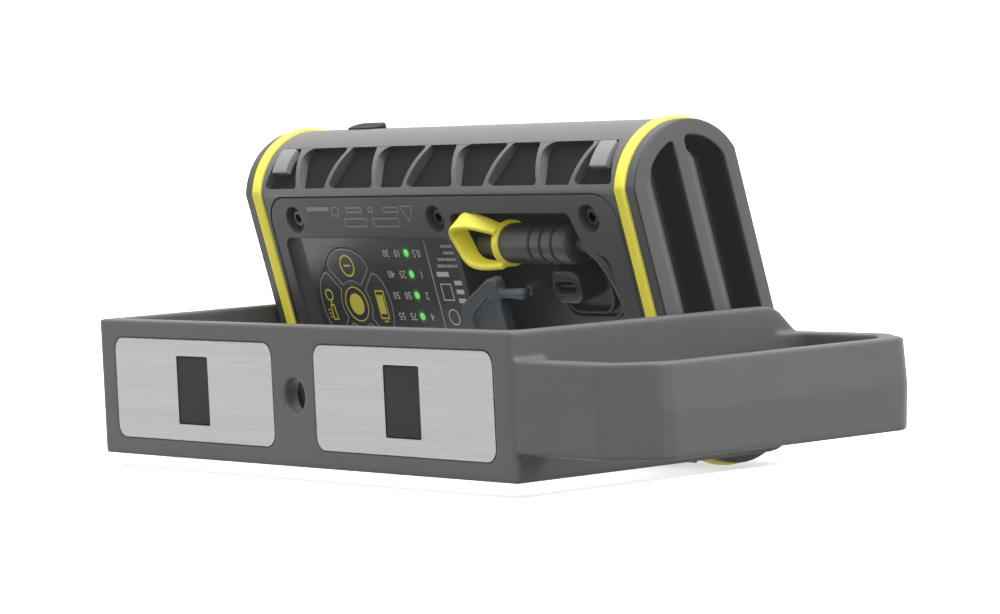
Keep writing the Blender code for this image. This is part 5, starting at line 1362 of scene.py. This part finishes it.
def smooth_path(points, samples=6):
    path = [Vector(p) for p in points]
    path = [path[0] * 2 - path[1], *path, path[-1] * 2 - path[-2]]
    found = []
    for p0, p1, p2, p3 in zip(path, path[1:], path[2:], path[3:]):
        for k in range(samples):
            t = k / samples
            found.append(0.5 * (2 * p1 + (p2 - p0) * t + (2 * p0 - 5 * p1 + 4 * p2 - p3) * t**2
                                + (3 * p1 - p0 - 3 * p2 + p3) * t**3))
    return found + [path[-2]]


def make_loop():
    """The yellow collar round the plug, and the wide band that stands off it as a finger loop."""
    inner, outer = PLUG_DIAMETER / 2 - 0.6 * MM, PLUG_DIAMETER / 2 + 0.75 * MM
    low, high = 9.7 * MM, 12.0 * MM
    ring = [[(x, r * math.cos(a), r * math.sin(a)) for a in (2 * math.pi * i / 48 for i in range(48))]
            for x, r in ((low, inner), (low, outer), (high, outer), (high, inner))]
    collar = swept(ring)
    route = [(11.0, -3.4, 5.0), (8.2, -5.0, 6.7), (4.6, -6.6, 8.3), (1.6, -7.3, 8.6), (-1.0, -7.3, 7.7),
             (-2.4, -6.6, 5.6), (-2.4, -5.9, 3.0), (-1.7, -5.6, 0.4), (-0.6, -5.6, -2.0), (1.6, -5.5, -3.8),
             (5.2, -4.9, -4.7), (11.0, -3.4, -5.0)]
    path = smooth_path([Vector(p) * MM for p in route])
    last = len(path) - 1
    spread = [4.6 * MM + 1.3 * MM * math.sin(math.pi * i / last) for i in range(last + 1)]
    leans = [0.75 * max(0.0, 1 - abs(i / last - 0.25) / 0.28) for i in range(last + 1)]
    band = strip(path, spread, 1.75 * MM, [(0, 1, lean) for lean in leans])
    mesh = softened(together([collar, band]), 0.22 * MM, 7)
    show("finger_loop", mesh, SHADES["yellow_rubber"], "head", ["pull_loop"],
         HEAD @ Matrix.Translation((PLUG_LEFT, PLUG_Y, PLUG_RISE)))


def make_flap():
    """The port's rubber stopper: a soft-edged shield with a dimple, a raised step and its peg."""
    left, right, high = -27.6 * MM, -8.4 * MM, 4.5 * MM
    low = high - 18.6 * MM
    corners = [(left, low), (right, low), (right, high), (right - 3.4 * MM, high), (left, high - 8.6 * MM)]
    body = rounded(corners, [4 * MM, 3 * MM, 1.6 * MM, 2.2 * MM, 3.6 * MM])
    half = 1.8 * MM
    plate = extruded([body], -half, half, "XZ")
    dimple = rounded([(left + 5.4 * MM, low + 2.6 * MM), (right - 2 * MM, low + 2.6 * MM),
                      (right - 2 * MM, high - 5.4 * MM), (right - 5.6 * MM, high - 5.4 * MM),
                      (left + 5.4 * MM, high - 10.6 * MM)], [3 * MM, 3 * MM, 2.6 * MM, 2.6 * MM, 3 * MM])
    plate = boolean(plate, extruded([dimple], -half - MM, -half + 1.1 * MM, "XZ"), "DIFFERENCE")
    shelf = extruded([rounded(rectangle(left - MM, low - MM, left + 1.9 * MM, high), 0.5 * MM)], -half - MM,
                     -half + 0.9 * MM, "XZ")
    plate = boolean(plate, shelf, "DIFFERENCE")
    peg = lathe([(right - 2 * MM, 0.5 * MM), (right - 2 * MM, 1.5 * MM), (right + 2.4 * MM, 1.35 * MM),
                 (right + 7 * MM, 1.6 * MM), (right + 9.4 * MM, 1.65 * MM), (right + 10 * MM, 1.2 * MM),
                 (right + 10.1 * MM, 0.4 * MM)], "X", 24)
    mesh = softened(together([plate, peg]), 0.24 * MM, 8)
    show("port_stopper", mesh, SHADES["blue_grey_rubber"], "port_flap", ["port_flap"],
         HEAD @ Matrix.Translation((ANCHOR_X, ANCHOR_Y, ANCHOR_Z)))


# ---------------------------------------------------------------- lens side

def make_lens():
    """The frosted lens with its moulded frame of low ribs, over the light engine."""
    face, back = HALF_DEPTH - 0.6 * MM, HALF_DEPTH - 2.8 * MM
    outline = rounded_rectangle(2 * LENS_HALF, LENS_HEIGHT, LENS_CORNER)
    show("lens_pane", prism([outline], back, face, "XZ", 0.2 * MM, 0.5 * MM), SHADES["lens_clear"],
         "head", ["lens"])
    frame_out = rounded_rectangle(2 * LENS_HALF - 1.4 * MM, LENS_HEIGHT - 1.4 * MM, LENS_CORNER - 0.7 * MM)
    frame_in = rounded_rectangle(2 * LENS_HALF - 5.4 * MM, LENS_HEIGHT - 5.4 * MM, LENS_CORNER - 2.7 * MM)
    rim = prism([frame_out, frame_in], face - MM, face + 0.3 * MM, "XZ", 0, 0.3 * MM)
    show("lens_rim", rim, SHADES["dark_rubber"], "head")


def make_nub():
    """The low rubber nub on the crown."""
    outline = rounded_rectangle(14 * MM, 6 * MM, 2.9 * MM, (-54 * MM, 6.5 * MM))
    top = CROWN_CENTRE + math.sqrt((CROWN_RADIUS + GAP) ** 2 - (6.5 * MM) ** 2) + 0.8 * MM
    mesh = extruded([outline], top - 3.4 * MM, top - 0.05 * MM, "XY")
    under = extruded([circle(0, CROWN_CENTRE, 2 * (CROWN_RADIUS + 0.05 * MM), 128)], -0.1, 0.1, "YZ")
    mesh = bevelled(boolean(mesh, under, "DIFFERENCE"), 0.35 * MM, 3, 45)
    show("crown_nub", mesh, SHADES["dark_rubber"], "head", ["top_nub"])


def finish_carried_nodes():
    """Gives each CAD node that still shows the material of its slot."""
    slots = {part["node"]: part["material_slot"] for part in frame["record"]["subparts"]}
    for name, node in frame["nodes"].items():
        node.data.materials.clear()
        node.data.materials.append(SHADES[slots[name]])


make_camera()
make_stage()
make_bracket()
make_plates()
make_bolts()
make_rings()
make_caps()
make_rear_shell()
make_truss_painted_shade()
make_front_shell()
make_clips()
make_cover()
make_keypad()
make_pocket()
make_port()
make_plug()
make_lead()
make_loop()
make_flap()
make_lens()
make_nub()
finish_carried_nodes()
